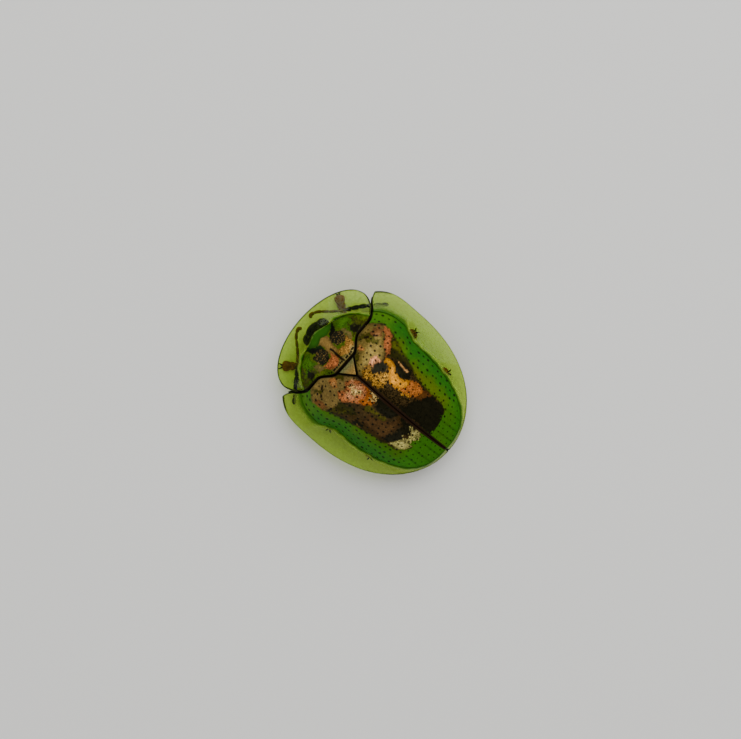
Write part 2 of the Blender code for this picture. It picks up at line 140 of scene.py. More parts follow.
def value_noise(x, y, size, seed):
    """Smooth noise from -1 to 1: random values on a square lattice, eased between its corners."""
    lattice = np.random.default_rng(seed).uniform(-1, 1, (NOISE_CELLS, NOISE_CELLS))
    gx, gy = x / size + NOISE_CELLS, y / size + NOISE_CELLS
    ix, iy = np.floor(gx).astype(int), np.floor(gy).astype(int)
    fx, fy = smooth(gx - ix), smooth(gy - iy)
    ix, iy, jx, jy = (i % NOISE_CELLS for i in (ix, iy, ix + 1, iy + 1))
    low = lattice[ix, iy] * (1 - fx) + lattice[jx, iy] * fx
    high = lattice[ix, jy] * (1 - fx) + lattice[jx, jy] * fx
    return low * (1 - fy) + high * fy


# Heights of the back, the same formulas as the solids


def outline_x(y):
    """Half width of the wing cases: a superellipse behind, a soft taper to the front corner."""
    forward = np.clip((WIDEST_Y - y) / (WIDEST_Y - HUMERUS_Y), 0, None)
    taper = RIM_HALF_WIDTH - (RIM_HALF_WIDTH - HUMERUS_X) * forward**HUMERUS_ROUNDING
    back = np.clip((y - WIDEST_Y) / (REAR_Y - WIDEST_Y), 0, 1)
    return np.where(y < WIDEST_Y, taper, RIM_HALF_WIDTH * round_off(back, OUTLINE_POWER))


def base_y(x):
    """The wavy line between shield and wing cases: two smooth steps forward, going outwards."""
    y = np.full(np.shape(x), BASE_Y)
    for start, run, depth in BASE_STEPS:
        y = y - depth * smooth((np.abs(x) - start) / run)
    return y


HUMERUS_Y = float(base_y(HUMERUS_X)) + BASE_GAP / 2


def wing_front_y(x):
    """Front edge of a wing case: along the scutellum's side, then along the base line."""
    along = np.clip(x / SCUTELLUM_HALF_WIDTH, 0, 1)
    beside = SCUTELLUM_TIP_Y + (BASE_Y - SCUTELLUM_TIP_Y) * along
    return np.where(x >= SCUTELLUM_HALF_WIDTH, base_y(x), beside) + BASE_GAP / 2


def disc_half(y):
    """Half width of the opaque disc's own ellipse, wider at the shoulder."""
    return DISC_HALF_WIDTH + SHOULDER_FLARE * smooth((SHOULDER_FROM_Y - y) / SHOULDER_RUN)


def disc_radius(x, y):
    """1 on the line where the dome meets the rim: one superellipse behind the apex, one before."""
    across = x / disc_half(y)
    behind = power_length(across, (y - APEX_Y) / (DISC_REAR_Y - APEX_Y), DISC_POWER)
    before = power_length(across, (APEX_Y - y) / DISC_FRONT_RUN, SHOULDER_POWER)
    return np.where(y > APEX_Y, behind, before)


def disc_edge_x(y):
    """Half width of the opaque disc at y, where disc_radius is 1."""
    back = np.clip((y - APEX_Y) / (DISC_REAR_Y - APEX_Y), 0, 1)
    fore = np.clip((APEX_Y - y) / DISC_FRONT_RUN, 0, 1)
    behind = (1 - back**DISC_POWER) ** (1 / DISC_POWER)
    before = (1 - fore**SHOULDER_POWER) ** (1 / SHOULDER_POWER)
    return disc_half(y) * np.where(y > APEX_Y, behind, before)


def wing_top(x, y):
    """Height of the wing cases: a rim that falls to its edge, plus a dome H (1 - r^p).

    A soft crease joins the two, and a small callus stands at the shoulder.
    """
    radius = disc_radius(x, y)
    before = np.abs(x) / outline_x(y)
    behind = power_length(x / RIM_HALF_WIDTH, (y - WIDEST_Y) / (REAR_Y - WIDEST_Y), OUTLINE_POWER)
    inside = np.clip(1 - np.where(y < WIDEST_Y, before, behind), 0, None)
    beyond = np.clip(radius - 1, 0, None)
    rim = DISC_EDGE_Z + (RIM_TOP_Z - DISC_EDGE_Z) * beyond / (beyond + inside + 1e-9)
    arch = 1 - radius**DOME_POWER
    dome = DOME_HEIGHT * 0.5 * (arch + np.hypot(arch, CREASE))
    away = ((np.abs(x) - CALLUS[0]) ** 2 + (y - CALLUS[1]) ** 2) / CALLUS_SPREAD**2
    return rim + dome + CALLUS_HEIGHT * np.exp(-away)


def shield_rear_y(x):
    """Hind edge of the shield: a rounded corner and a lobe in the middle."""
    corner = round_off(x / SHIELD_HALF_WIDTH, 6)
    start, run, _ = BASE_STEPS[0]
    lobe = SHIELD_LOBE * (1 - smooth((np.abs(x) - start) / run)) * smooth(corner * 2)
    return SHIELD_CORNER_Y + (SHIELD_REAR_RUN - BASE_GAP / 2) * corner + lobe


def closed_rear_y(x):
    """Hind edge of the finished shield: the solid's, but drawn back to the base line inside."""
    own = shield_rear_y(x)
    close = 1 - smooth((np.abs(x) - CLOSED_TO_X) / CLOSED_FADE)
    return own + np.clip(base_y(x) - CLOSED_GAP - own, 0, None) * close


def hood_and_disc(x, y):
    """Height of the shield on its own: an arched hood, plus a disc that grows towards the base."""
    across = x / SHIELD_HALF_WIDTH
    forward = np.minimum(y - SHIELD_CORNER_Y, 0.0) / (FRONT_Y - SHIELD_CORNER_Y)
    hood = RIM_TOP_Z + SHIELD_ARCH * forward**2
    hood = hood + SHIELD_RISE * np.clip(1 - across**2 - forward**2, 0, None)
    ahead = np.minimum(y - SHIELD_DISC_Y, 0.0) / SHIELD_DISC_RUN
    inside = np.clip(1 - (x / SHIELD_DISC_HALF_WIDTH) ** 2 - ahead**2, 0, None)
    low, high = SHIELD_DISC_HEIGHT
    start, run = SHIELD_DISC_RAMP
    height = low + (high - low) * smooth((y - start) / run)
    return hood + height * inside**1.3


def shield_top(x, y):
    """Height of the shield, raised towards its hind edge to lie level with the wing cases."""
    rear = shield_rear_y(x)
    corner = round_off(x / SHIELD_HALF_WIDTH, 6)
    missing = wing_top(x, base_y(x)) - BASE_DROP - hood_and_disc(x, rear)
    return hood_and_disc(x, y) + missing * corner * smooth(1 - (rear - y) / BASE_RISE_RUN)


def back_top(x, y):
    """Height of the back at any point, over shield and wing cases alike."""
    return np.where(y < base_y(x), shield_top(x, y), wing_top(x, y))


# Surfaces as grids of points: rows, columns and x, y, z


def grid_steps(rows, columns, crowd=0.0, u_from=0.0, v_from=0.0):
    """Steps u across the columns and v along the rows, up to 1. A sine crowds u outwards."""
    steps = np.linspace(u_from, 1, columns)
    u = (steps + crowd * np.sin(math.pi * steps))[None, :] * np.ones((rows, 1))
    return u, np.linspace(v_from, 1, rows)[:, None] * np.ones((1, columns))


def raised(height, x, y):
    """Points of a height field over x and y."""
    return np.stack([x, y, height(x, y)], -1)


def mirrored(points, side):
    """The same points on the beetle's left (+1) or right (-1) side."""
    return np.asarray(points) * (side, 1, 1)


def normals_of(height, x, y, step=0.12):
    """Unit normals of a height field, (-dz/dx, -dz/dy, 1) from central differences.

    The step is wide, so that a wall laid off along the normals can't fold in a crease.
    """
    dx = (height(x + step, y) - height(x - step, y)) / (2 * step)
    dy = (height(x, y + step) - height(x, y - step)) / (2 * step)
    up = np.stack([-dx, -dy, np.ones_like(dx)], -1)
    return up / np.linalg.norm(up, axis=-1, keepdims=True)


def ruled(u, v, inner, outer, ends):
    """A patch between two curves of v: straight lines (1 - u) inner + u outer, bent near its ends.

    Each end is (curve of u, weight of v). The bend is that curve less its own chord, times the
    weight, so that the patch's side follows the curve where the weight is 1.
    """
    share = u[..., None]
    plan = inner(v) * (1 - share) + outer(v) * share
    for curve, weight in ends:
        chord = curve(np.zeros(1)) * (1 - share) + curve(np.ones(1)) * share
        plan = plan + weight(v)[..., None] * (curve(u) - chord)
    return plan


def from_side(points, axis, far=False):
    """Distance of each grid point from one side of the grid, along the grid's own lines."""
    steps = np.linalg.norm(np.diff(points, axis=axis), axis=-1)
    start = np.zeros_like(np.take(steps, [0], axis))
    total = np.concatenate([start, np.cumsum(steps, axis)], axis)
    return np.take(total, [-1], axis) - total if far else total


def from_border(points):
    """Distance of each grid point from the nearest of the grid's four sides."""
    sides = [from_side(points, axis, far) for axis in (0, 1) for far in (False, True)]
    return np.minimum.reduce(sides)


def thin_shell(plan, height, wall, relief=0.0):
    """Top and bottom grids of a plate under a height field, meeting in a round edge.

    The middle sheet is half a wall under the top. Both faces lie off it by half a wall times
    sqrt(1 - (1 - e)^2), with e the share of half a wall that a point is from the border.
    """
    x, y = plan[..., 0], plan[..., 1]
    normal = normals_of(height, x, y)
    top = raised(height, x, y)
    middle = top - normal * wall / 2
    share = np.clip(from_border(top) / (wall * EDGE_ROUNDING), 0, 1)
    half = (wall / 2 * np.sqrt(1 - (1 - share) ** 2))[..., None]
    upper = middle + normal * half + normal * np.asarray(relief)[..., None] * share[..., None]
    return upper, middle - normal * half


def ring_tube(path, radii, sides, flatten=1.0):
    """Rings round a path: each point plus r (cos t across + k sin t over), closed at both ends.

    across is level and square to the path, over is square to both, and k is flatten.
    """
    ahead = np.gradient(path, axis=0)
    ahead /= np.linalg.norm(ahead, axis=1, keepdims=True)
    across = np.cross(ahead, (0.0, 0.0, 1.0))
    across /= np.linalg.norm(across, axis=1, keepdims=True)
    over = np.cross(across, ahead)
    turn = np.linspace(math.tau, 0, sides + 1)
    radii = np.broadcast_to(radii, len(path))[:, None, None]
    flatten = np.broadcast_to(flatten, len(path))[:, None, None]
    spread = across[:, None] * np.cos(turn)[None, :, None]
    spread = spread + over[:, None] * np.sin(turn)[None, :, None] * flatten
    return path[:, None] + spread * radii


def ellipsoid(centre, sizes, rings=24, sides=36):
    """A ball from pole to pole along its own x, with its half sizes given."""
    along = np.linspace(0, math.pi, rings + 1)[:, None]
    round_ = np.linspace(0, math.tau, sides + 1)[None, :]
    x = -np.cos(along) * np.ones_like(round_)
    y, z = np.sin(along) * np.cos(round_), np.sin(along) * np.sin(round_)
    return np.stack([x, y, z], -1) * sizes + np.asarray(centre)


def spline(points, count):
    """A smooth curve of evenly spaced points through the given ones, by Catmull-Rom cubics."""
    p = np.asarray(points, float)
    ends = np.vstack([2 * p[0] - p[1], p, 2 * p[-1] - p[-2]])
    t = np.linspace(0, 1, 24, endpoint=False)[:, None]
    runs = []
    for a, b, c, d in zip(ends, ends[1:], ends[2:], ends[3:]):
        cubic = (3 * b - a - 3 * c + d) * t**3
        runs.append(0.5 * (2 * b + (c - a) * t + (2 * a - 5 * b + 4 * c - d) * t**2 + cubic))
    curve = np.vstack([*runs, p[-1:]])
    length = np.concatenate([[0], np.cumsum(np.linalg.norm(np.diff(curve, axis=0), axis=1))])
    even = np.linspace(0, length[-1], count)
    return np.stack([np.interp(even, length, curve[:, i]) for i in range(3)], -1)


def grid_faces(rows, columns, first, flip):
    """Quads of a grid of points, numbered row by row from first."""
    corner = np.arange(rows - 1)[:, None] * columns + np.arange(columns - 1)[None, :] + first
    quads = [corner, corner + 1, corner + columns + 1, corner + columns]
    if flip:
        quads.reverse()
    return np.stack(quads, -1).reshape(-1, 4)


def new_object(name, data):
    """An object in the scene, at the origin."""
    obj = bpy.data.objects.new(name, data)
    bpy.context.scene.collection.objects.link(obj)
    return obj


def add_piece(name, node, look, grids, tints, flips=(), **values):
    """One mesh from grids of points in millimetres, with points that coincide made one.

    A look is a material and a slot name; the slot name is not used. tints and values give each
    grid's arrays for the named attributes. flips says which grids are wound the other way, and none
    are if it is left out.
    """
    points, faces = [], []
    count = 0
    for grid, flip in zip(grids, flips or [False] * len(grids)):
        rows, columns = grid.shape[:2]
        faces.append(grid_faces(rows, columns, count, flip))
        points.append(grid.reshape(-1, 3))
        count += rows * columns
    mesh = bpy.data.meshes.new(name)
    mesh.from_pydata((np.vstack(points) * MM).tolist(), [], np.vstack(faces).tolist())
    for key, arrays in values.items():
        layer = mesh.attributes.new(key, "FLOAT", "POINT")
        flat = np.concatenate([np.ravel(a) for a in arrays]).astype(np.float32)
        layer.data.foreach_set("value", flat)
    layer = mesh.attributes.new("tint", "FLOAT_COLOR", "POINT")
    flat = np.vstack([a.reshape(-1, 3) for a in tints])
    flat = np.hstack([flat, np.ones((count, 1))]).astype(np.float32)
    layer.data.foreach_set("color", flat.ravel())
    weld(mesh)
    finish, slot = look
    mesh.materials.append(finish)
    mesh.shade_smooth()
    obj = new_object(name, mesh)
    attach(obj, "root")
    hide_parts(node)


def weld(mesh):
    """Merge points under 0.001 mm apart, and drop the faces that this leaves with no area."""
    bm = bmesh.new()
    bm.from_mesh(mesh)
    bmesh.ops.remove_doubles(bm, verts=bm.verts, dist=0.001 * MM)
    bmesh.ops.dissolve_degenerate(bm, edges=bm.edges, dist=0.0002 * MM)
    bm.to_mesh(mesh)
    bm.free()


# Colours, named as they look on the back


def srgb(*levels):
    """Linear colour from screen levels of 0 to 255."""
    share = np.array(levels) / 255
    return np.where(share <= 0.04045, share / 12.92, ((share + 0.055) / 1.055) ** 2.4)


BLACK = srgb(8, 7, 3)
SMOKE = srgb(22, 20, 9)
SEAM_BROWN = srgb(30, 16, 9)
LINE_BROWN = srgb(24, 18, 6)
DARK_BROWN = srgb(44, 33, 14)
BROWN = srgb(54, 40, 17)
REDDISH = srgb(62, 42, 18)
ROSE_BROWN = srgb(108, 72, 38)
OLIVE_TAUPE = srgb(116, 96, 50)
TAUPE = srgb(112, 98, 50)
WARM_TAUPE = srgb(100, 84, 38)
TAN = srgb(148, 106, 44)
BEIGE = srgb(132, 104, 52)
SALMON = srgb(160, 92, 48)
PEACH = srgb(176, 116, 58)
PALE_PEACH = srgb(206, 150, 86)
GREY_OLIVE = srgb(100, 102, 60)
PALE_ROSE = srgb(176, 116, 74)
COPPER = srgb(150, 88, 46)
TAWNY = srgb(152, 88, 36)
ORANGE = srgb(148, 80, 20)
RUST = srgb(96, 58, 22)
AMBER = srgb(172, 114, 20)
GOLD = srgb(180, 128, 36)
PALE_GOLD = srgb(180, 148, 84)
DULL_GOLD = srgb(118, 84, 26)
CREAM = srgb(152, 144, 80)
OLIVE = srgb(88, 92, 6)
MOSS = srgb(70, 66, 14)
DARK_OLIVE = srgb(42, 40, 8)
STREAK_OLIVE = srgb(60, 64, 10)
EMERALD = srgb(40, 88, 14)
DEEP_EMERALD = srgb(18, 92, 12)
FOREST = srgb(60, 92, 6)
GREEN = srgb(44, 98, 2)
MEADOW = srgb(60, 100, 10)
DEEP_GREEN = srgb(10, 42, 2)
LEAF_GREEN = srgb(74, 116, 0)
REAR_GREEN = srgb(44, 106, 4)
HIGHLIGHT_GREEN = srgb(120, 160, 70)
RIM_TINT = srgb(188, 219, 82)
HORN = srgb(150, 96, 24)
FEELER_BROWN = srgb(116, 78, 18)
LEG_BROWN = srgb(120, 66, 26)

# Patches of the metallic back. Each has a colour, how ragged its edge is, how much it glitters
# and its outline (x outwards, y). Later ones lie over earlier ones.
BASE_DASHES = (
    (SEAM_BROWN, 0.15, 0.0, ((2.36, -2.36), (2.08, -2.56), (2.0, -2.47), (2.28, -2.27))),
    (SEAM_BROWN, 0.15, 0.0, ((2.70, -2.12), (2.54, -2.25), (2.47, -2.15), (2.62, -2.02))),
)
LEFT_PATCHES = (
    (BROWN, 0.3, 0.3, (
        (3.0, -0.88), (1.29, 0.01), (1.16, 1.07), (0.87, 2.13), (0.07, 2.3), (0.09, 3.02),
        (2.1, 3.03), (2.41, 1.96), (2.69, 0.9),
    )),
    (REDDISH, 0.5, 0.3, (
        (2.15, 0.89), (1.3, 0.89), (0.96, 2.13), (0.17, 2.66), (0.54, 3.02), (2.0, 2.76),
        (2.26, 1.78),
    )),
    (OLIVE_TAUPE, 0.4, 0.3, (
        (3.5, -2.13), (2.8, -3.1), (1.9, -2.95), (1.1, -2.65), (0.4, -1.67), (0.04, -0.96),
        (0.84, -1.4), (1.29, -1.1), (1.66, -1.32), (2.03, -1.01), (2.17, -0.74), (2.7, -1.01),
        (3.34, -1.33),
    )),
    (ROSE_BROWN, 0.5, 0.4, (
        (3.56, -2.13), (3.0, -2.26), (2.78, -1.77), (2.99, -1.28), (3.37, -1.42),
    )),
    (MOSS, 0.9, 0.2, ((1.25, -2.7), (0.95, -2.4), (0.72, -1.85), (0.9, -1.75), (1.2, -2.25))),
    (MOSS, 0.9, 0.2, ((2.95, -2.85), (2.55, -2.75), (2.3, -2.35), (2.5, -2.2), (2.9, -2.5))),
    (DARK_OLIVE, 0.5, 0.3, (
        (2.65, -1.06), (2.12, -1.01), (1.8, -0.17), (1.9, 0.54), (2.28, 0.1), (2.52, -0.44),
    )),
    # The copper, orange and pale rose patches are partly the back's own colour and partly painted
    # highlight and glints.
    (COPPER, 0.35, 0.8, (
        (1.98, -1.14), (1.66, -1.49), (1.29, -1.21), (0.84, -1.56), (0.53, -1.4), (0.17, -0.96),
        (0.04, -0.35), (0.26, 0.18), (0.62, 0.71), (0.93, 0.64), (1.29, 0.01), (1.66, -0.52),
        (1.92, -0.83),
    )),
    (ORANGE, 0.4, 0.6, (
        (1.29, -0.12), (0.84, 0.1), (0.39, 0.01), (0.08, -0.52), (0.05, -0.17), (0.3, 0.27),
        (0.62, 0.73), (0.91, 0.64), (1.2, 0.23),
    )),
    (PALE_ROSE, 0.9, 1.0, (
        (1.56, -1.1), (1.11, -1.01), (0.7, -1.32), (0.37, -1.23), (0.3, -0.61), (0.48, -0.08),
        (0.68, -0.26), (0.84, -0.74), (1.2, -0.43), (1.47, -0.65),
    )),
    (PEACH, 0.5, 0.7, ((1.62, -2.34), (1.28, -2.31), (1.15, -1.98), (1.37, -1.74), (1.67, -1.96))),
    (PALE_PEACH, 0.6, 0.8, ((1.48, -2.2), (1.27, -2.16), (1.31, -1.92), (1.49, -1.95))),
    (PALE_GOLD, 1.5, 1.2, ((1.0, -1.3), (0.6, -1.35), (0.55, -0.5), (0.8, -0.2), (1.05, -0.7))),
    (PALE_GOLD, 1.2, 1.6, ((0.53, 0.1), (0.08, 0.05), (0.11, 0.8), (0.44, 0.8))),
    # The smoky dark patches from here on are partly dark markings and partly painted dark
    # reflection.
    (SMOKE, 0.9, 0.6, (
        (3.25, -1.2), (2.95, -1.05), (2.72, -0.2), (2.5, 0.6), (2.38, 1.5), (2.6, 1.4), (2.9, 0.3),
    )),
    (MOSS, 0.8, 0.4, ((2.9, -1.05), (2.62, -0.9), (2.4, -0.35), (2.55, -0.3), (2.75, -0.6))),
    (SMOKE, 0.5, 0.3, ((2.42, 0.62), (2.2, 0.6), (2.12, 1.12), (2.32, 1.2))),
    # The thin beige streak beside the smoky spot is a painted glint.
    (BEIGE, 0.3, 0.4, ((2.55, 0.7), (2.47, 0.68), (2.38, 1.08), (2.46, 1.12))),
    (MOSS, 0.6, 0.3, (
        (1.37, 0.32), (1.11, 0.45), (0.92, 0.76), (0.88, 1.51), (0.84, 1.88), (0.99, 2.0),
        (1.17, 1.6), (1.27, 1.07),
    )),
    (SMOKE, 0.6, 0.4, ((0.86, 0.85), (0.02, 0.76), (0.05, 2.35), (0.6, 2.2), (0.86, 1.68))),
    (SMOKE, 0.7, 0.5, (
        (2.3, 2.58), (1.62, 2.86), (0.72, 3.02), (0.06, 2.57), (0.11, 3.8), (0.56, 3.7),
        (1.19, 3.59), (1.65, 3.49), (2.09, 3.16),
    )),
    (CREAM, 0.3, 0.9, (
        (2.08, 3.13), (1.74, 3.4), (1.38, 3.58), (1.13, 3.87), (1.24, 4.44), (1.69, 4.21),
        (1.97, 3.88),
    )),
    (CREAM, 1.6, 1.0, (
        (1.18, 3.66), (0.74, 3.69), (0.12, 3.66), (0.15, 4.36), (0.69, 4.36), (1.18, 4.28),
    )),
)
RIGHT_PATCHES = (
    (DARK_BROWN, 0.3, 1.3, ((0.23, 0.01), (2.46, 0.01), (2.43, 2.67), (0.19, 2.66))),
    (WARM_TAUPE, 0.25, 0.3, (
        (0.1, -1.23), (0.55, -2.11), (1.1, -2.65), (1.9, -2.95), (2.75, -3.1), (3.6, -1.87),
        (2.81, -1.46), (2.22, -0.88), (1.88, -0.74), (1.11, -1.18), (0.62, -1.27), (0.23, -0.87),
    )),
    (MOSS, 0.9, 0.2, ((1.15, -2.62), (0.85, -2.3), (0.5, -1.75), (0.7, -1.7), (1.1, -2.2))),
    (MOSS, 0.9, 0.2, (
        (1.75, -2.8), (2.15, -2.75), (2.45, -2.15), (2.4, -1.75), (2.15, -1.95), (1.9, -2.4),
    )),
    (ROSE_BROWN, 0.8, 0.3, (
        (2.55, -2.35), (3.1, -2.35), (3.35, -1.95), (2.95, -1.8), (2.6, -2.05),
    )),
    (DARK_OLIVE, 0.35, 0.3, (
        (2.34, -0.57), (2.81, -1.06), (3.44, -1.51), (3.31, -0.71), (3.0, 0.36), (2.89, 1.25),
        (2.45, 1.25), (2.42, 0.27),
    )),
    (OLIVE, 0.5, 0.2, ((2.81, -0.88), (3.23, -1.15), (3.13, -0.35), (2.79, 0.27), (2.72, -0.35))),
    (SALMON, 0.45, 0.5, (
        (3.31, -2.04), (3.56, -1.78), (3.44, -1.33), (2.81, -0.97), (2.37, -0.63), (2.12, -0.77),
        (2.43, -1.23), (2.98, -1.61),
    )),
    (PALE_ROSE, 0.5, 0.7, (
        (1.0, -1.18), (1.62, -1.33), (1.9, -1.12), (1.67, -0.79), (1.19, -0.85),
    )),
    (PEACH, 0.5, 0.7, ((1.21, -2.4), (1.52, -2.4), (1.65, -1.97), (1.44, -1.9), (1.24, -2.15))),
    (DULL_GOLD, 0.9, 1.6, (
        (0.19, -0.92), (0.62, -1.23), (0.98, -1.03), (0.77, -0.59), (1.1, -0.15), (1.53, 0.01),
        (1.1, 0.47), (0.4, 0.4), (0.21, -0.17),
    )),
    # The smoky dark patches from here on are partly dark markings and partly painted dark
    # reflection.
    (SMOKE, 0.9, 0.3, (
        (0.72, -0.74), (1.11, -0.89), (1.55, -0.8), (1.69, -0.48), (1.47, -0.13), (1.1, -0.21),
        (0.86, -0.47),
    )),
    (SMOKE, 0.5, 0.4, (
        (1.69, 0.27), (2.31, 0.05), (2.5, 0.45), (2.37, 1.25), (1.96, 1.47), (1.78, 1.11),
        (1.68, 0.71),
    )),
    # The amber band is partly the back's own colour and partly painted highlight.
    (AMBER, 0.22, 0.4, (
        (1.76, -0.52), (2.01, -0.65), (2.16, -0.36), (2.11, 0.11), (1.89, 0.38), (1.72, 0.73),
        (1.68, 1.16), (1.95, 1.47), (1.95, 1.69), (1.43, 1.7), (0.99, 1.26), (0.93, 0.71),
        (1.15, 0.32), (1.58, 0.08), (1.81, -0.17),
    )),
    (TAWNY, 0.35, 0.8, (
        (1.02, 1.29), (1.44, 1.58), (1.95, 1.49), (2.13, 1.78), (2.15, 2.4), (2.05, 3.03),
        (1.58, 2.77), (1.29, 2.31), (1.08, 1.95),
    )),
    (RUST, 0.4, 0.4, (
        (1.42, 2.49), (1.93, 2.58), (2.16, 2.67), (2.14, 3.39), (1.83, 3.25), (1.49, 2.89),
    )),
    (GOLD, 0.7, 1.4, ((0.97, 1.24), (1.12, 1.6), (1.29, 2.13), (1.11, 2.17), (0.98, 1.77))),
    # The thin pale peach streak at the smoky patch's edge is a painted glint.
    (PALE_PEACH, 0.3, 0.4, ((2.36, 0.13), (2.43, 0.22), (2.27, 1.02), (2.13, 1.0))),
    (SMOKE, 0.9, 0.35, (
        (0.19, 1.99), (0.73, 2.35), (1.41, 2.73), (1.91, 3.16), (2.21, 3.84), (2.02, 4.41),
        (1.34, 4.68), (0.62, 4.91), (0.07, 4.84),
    )),
)
SHIELD_PATCHES = (
    (MEADOW, 0.8, 0.3, ((2.31, -4.69), (1.29, -4.63), (1.36, -3.63), (2.22, -3.53))),
    (MEADOW, 0.8, 0.3, ((-1.25, -4.69), (-2.17, -4.59), (-2.3, -3.96), (-1.55, -3.95))),
    (TAUPE, 0.3, 0.4, (
        (0.97, -2.77), (0.34, -2.68), (-0.17, -2.81), (-0.68, -2.68), (-1.42, -2.9), (-1.29, -2.36),
        (-0.18, -2.29), (0.8, -2.33),
    )),
    (BEIGE, 0.25, 0.3, (
        (0.4, -4.52), (-0.02, -4.78), (-0.47, -4.52), (-0.47, -4.04), (-0.35, -3.62),
        (-0.42, -3.15), (0.17, -3.15), (0.25, -3.72), (0.23, -4.04),
    )),
    (DEEP_GREEN, 0.3, 0.2, (
        (1.34, -4.98), (0.96, -5.02), (0.74, -4.57), (0.34, -4.34), (0.27, -3.91), (0.75, -4.02),
        (1.08, -4.42),
    )),
    (BLACK, 0.4, 0.3, (
        (1.2, -4.81), (0.92, -4.73), (0.7, -4.41), (0.35, -4.2), (0.3, -3.91), (0.75, -4.04),
        (1.05, -4.34),
    )),
    (BLACK, 0.4, 0.3, (
        (-1.26, -4.87), (-1.02, -4.79), (-0.82, -4.47), (-0.48, -4.23), (-0.42, -3.91),
        (-0.81, -4.07), (-1.17, -4.42),
    )),
    (EMERALD, 0.12, 0.0, (
        (0.97, -4.74), (0.68, -5.1), (0.0, -5.36), (-0.73, -5.15), (-1.15, -4.74), (-0.88, -4.54),
        (-0.48, -4.42), (-0.03, -4.61), (0.37, -4.42), (0.71, -4.52),
    )),
    (SMOKE, 0.35, 1.0, (
        (1.31, -3.82), (1.17, -4.15), (0.77, -4.23), (0.33, -4.06), (0.22, -3.62), (0.47, -3.28),
        (0.98, -3.35),
    )),
    (SMOKE, 0.35, 1.0, (
        (-0.33, -3.85), (-0.5, -4.15), (-0.93, -4.24), (-1.34, -3.97), (-1.37, -3.61),
        (-1.08, -3.33), (-0.57, -3.39),
    )),
    (SALMON, 0.5, 0.8, (
        (1.13, -3.29), (0.57, -3.24), (0.03, -3.45), (-0.01, -2.83), (0.34, -2.64), (0.88, -2.73),
    )),
    (TAN, 0.4, 0.9, (
        (-0.21, -3.32), (-0.87, -3.18), (-1.36, -3.52), (-1.54, -3.21), (-1.24, -2.77),
        (-0.69, -2.62), (-0.23, -2.79),
    )),
    (TAUPE, 0.5, 0.3, ((1.63, -3.68), (1.18, -3.6), (1.07, -3.18), (1.53, -3.13))),
    (TAUPE, 0.5, 0.3, ((-1.31, -4.05), (-1.62, -3.93), (-1.62, -3.19), (-1.38, -3.21))),
    (STREAK_OLIVE, 0.9, 0.3, (
        (2.62, -4.4), (2.5, -4.0), (2.58, -3.5), (2.05, -3.36), (2.1, -3.1), (3.0, -3.08),
        (2.85, -3.6), (2.78, -4.1),
    )),
    (STREAK_OLIVE, 0.9, 0.3, (
        (-2.3, -4.15), (-2.28, -3.6), (-1.7, -3.3), (-1.75, -3.05), (-2.95, -3.08), (-2.7, -3.6),
        (-2.55, -4.05),
    )),
    (SMOKE, 0.5, 0.2, ((2.0, -3.85), (1.85, -3.25), (2.45, -3.2), (2.35, -3.65))),
    (SMOKE, 0.5, 0.2, (
        (-1.95, -3.85), (-1.75, -3.5), (-1.75, -3.2), (-2.5, -3.2), (-2.2, -3.55),
    )),
    (SEAM_BROWN, 0.15, 0.0, ((0.03, -3.72), (-0.12, -3.72), (-0.21, -2.6), (-0.04, -2.6))),
)

# Where the metallic top ends and the green flank begins
LEFT_TOP = (
    (2.7, -3.1), (3.05, -2.7), (3.39, -2.31), (3.31, -1.51), (3.01, -0.61), (2.75, 0.27),
    (2.54, 1.16), (2.41, 1.96), (2.3, 2.67), (2.11, 3.21), (1.98, 3.92), (1.69, 4.26),
    (1.23, 4.49),
)
RIGHT_TOP = (
    (2.7, -3.1), (3.1, -2.7), (3.51, -2.31), (3.48, -1.51), (3.22, -0.62), (2.89, 0.27),
    (2.58, 1.16), (2.35, 1.78), (2.25, 2.49), (2.22, 3.57), (2.18, 3.97), (2.0, 4.43),
    (1.33, 4.7), (0.13, 4.91),
)
PATCH_WARP = (0.34, 0.09)
PATCH_SOFT = 0.05
PATCH_EDGE = 0.28
PATCH_EDGE_SHADE = 0.62
PATCH_MIDDLE_SHADE = 1.08
PATCH_SHIFT = 0.22
PATCH_FRAY = 0.16
PATCH_BLUR = 0.08


def blend(colour, other, mask):
    """A colour, or an array of them, with another laid over it by a mask."""
    return colour + (other - colour) * mask[..., None]


def one_tint(grids, colour):
    """The same colour for every point of some grids."""
    return [np.broadcast_to(colour, grid.shape) for grid in grids]


def lightness(tint):
    """0 for black, rising towards 1 as the colour gets lighter."""
    total = tint.sum(-1)
    return total / (total + 0.12)


def depth_in(x, y, outline):
    """How far points lie inside a closed outline of straight sides, negative outside it.

    A point is inside if a line from it crosses the sides an odd number of times.
    """
    nearest = np.full(x.shape, np.inf)
    inside = np.zeros(x.shape, bool)
    for (ax, ay), (bx, by) in zip(outline, outline[1:] + outline[:1]):
        dx, dy = bx - ax, by - ay
        share = np.clip(((x - ax) * dx + (y - ay) * dy) / (dx * dx + dy * dy), 0, 1)
        nearest = np.minimum(nearest, np.hypot(x - ax - share * dx, y - ay - share * dy))
        spans = (ay > y) != (by > y)
        inside ^= spans & (x < ax + dx * (y - ay) / (dy if dy else 1.0))
    return np.where(inside, nearest, -nearest)


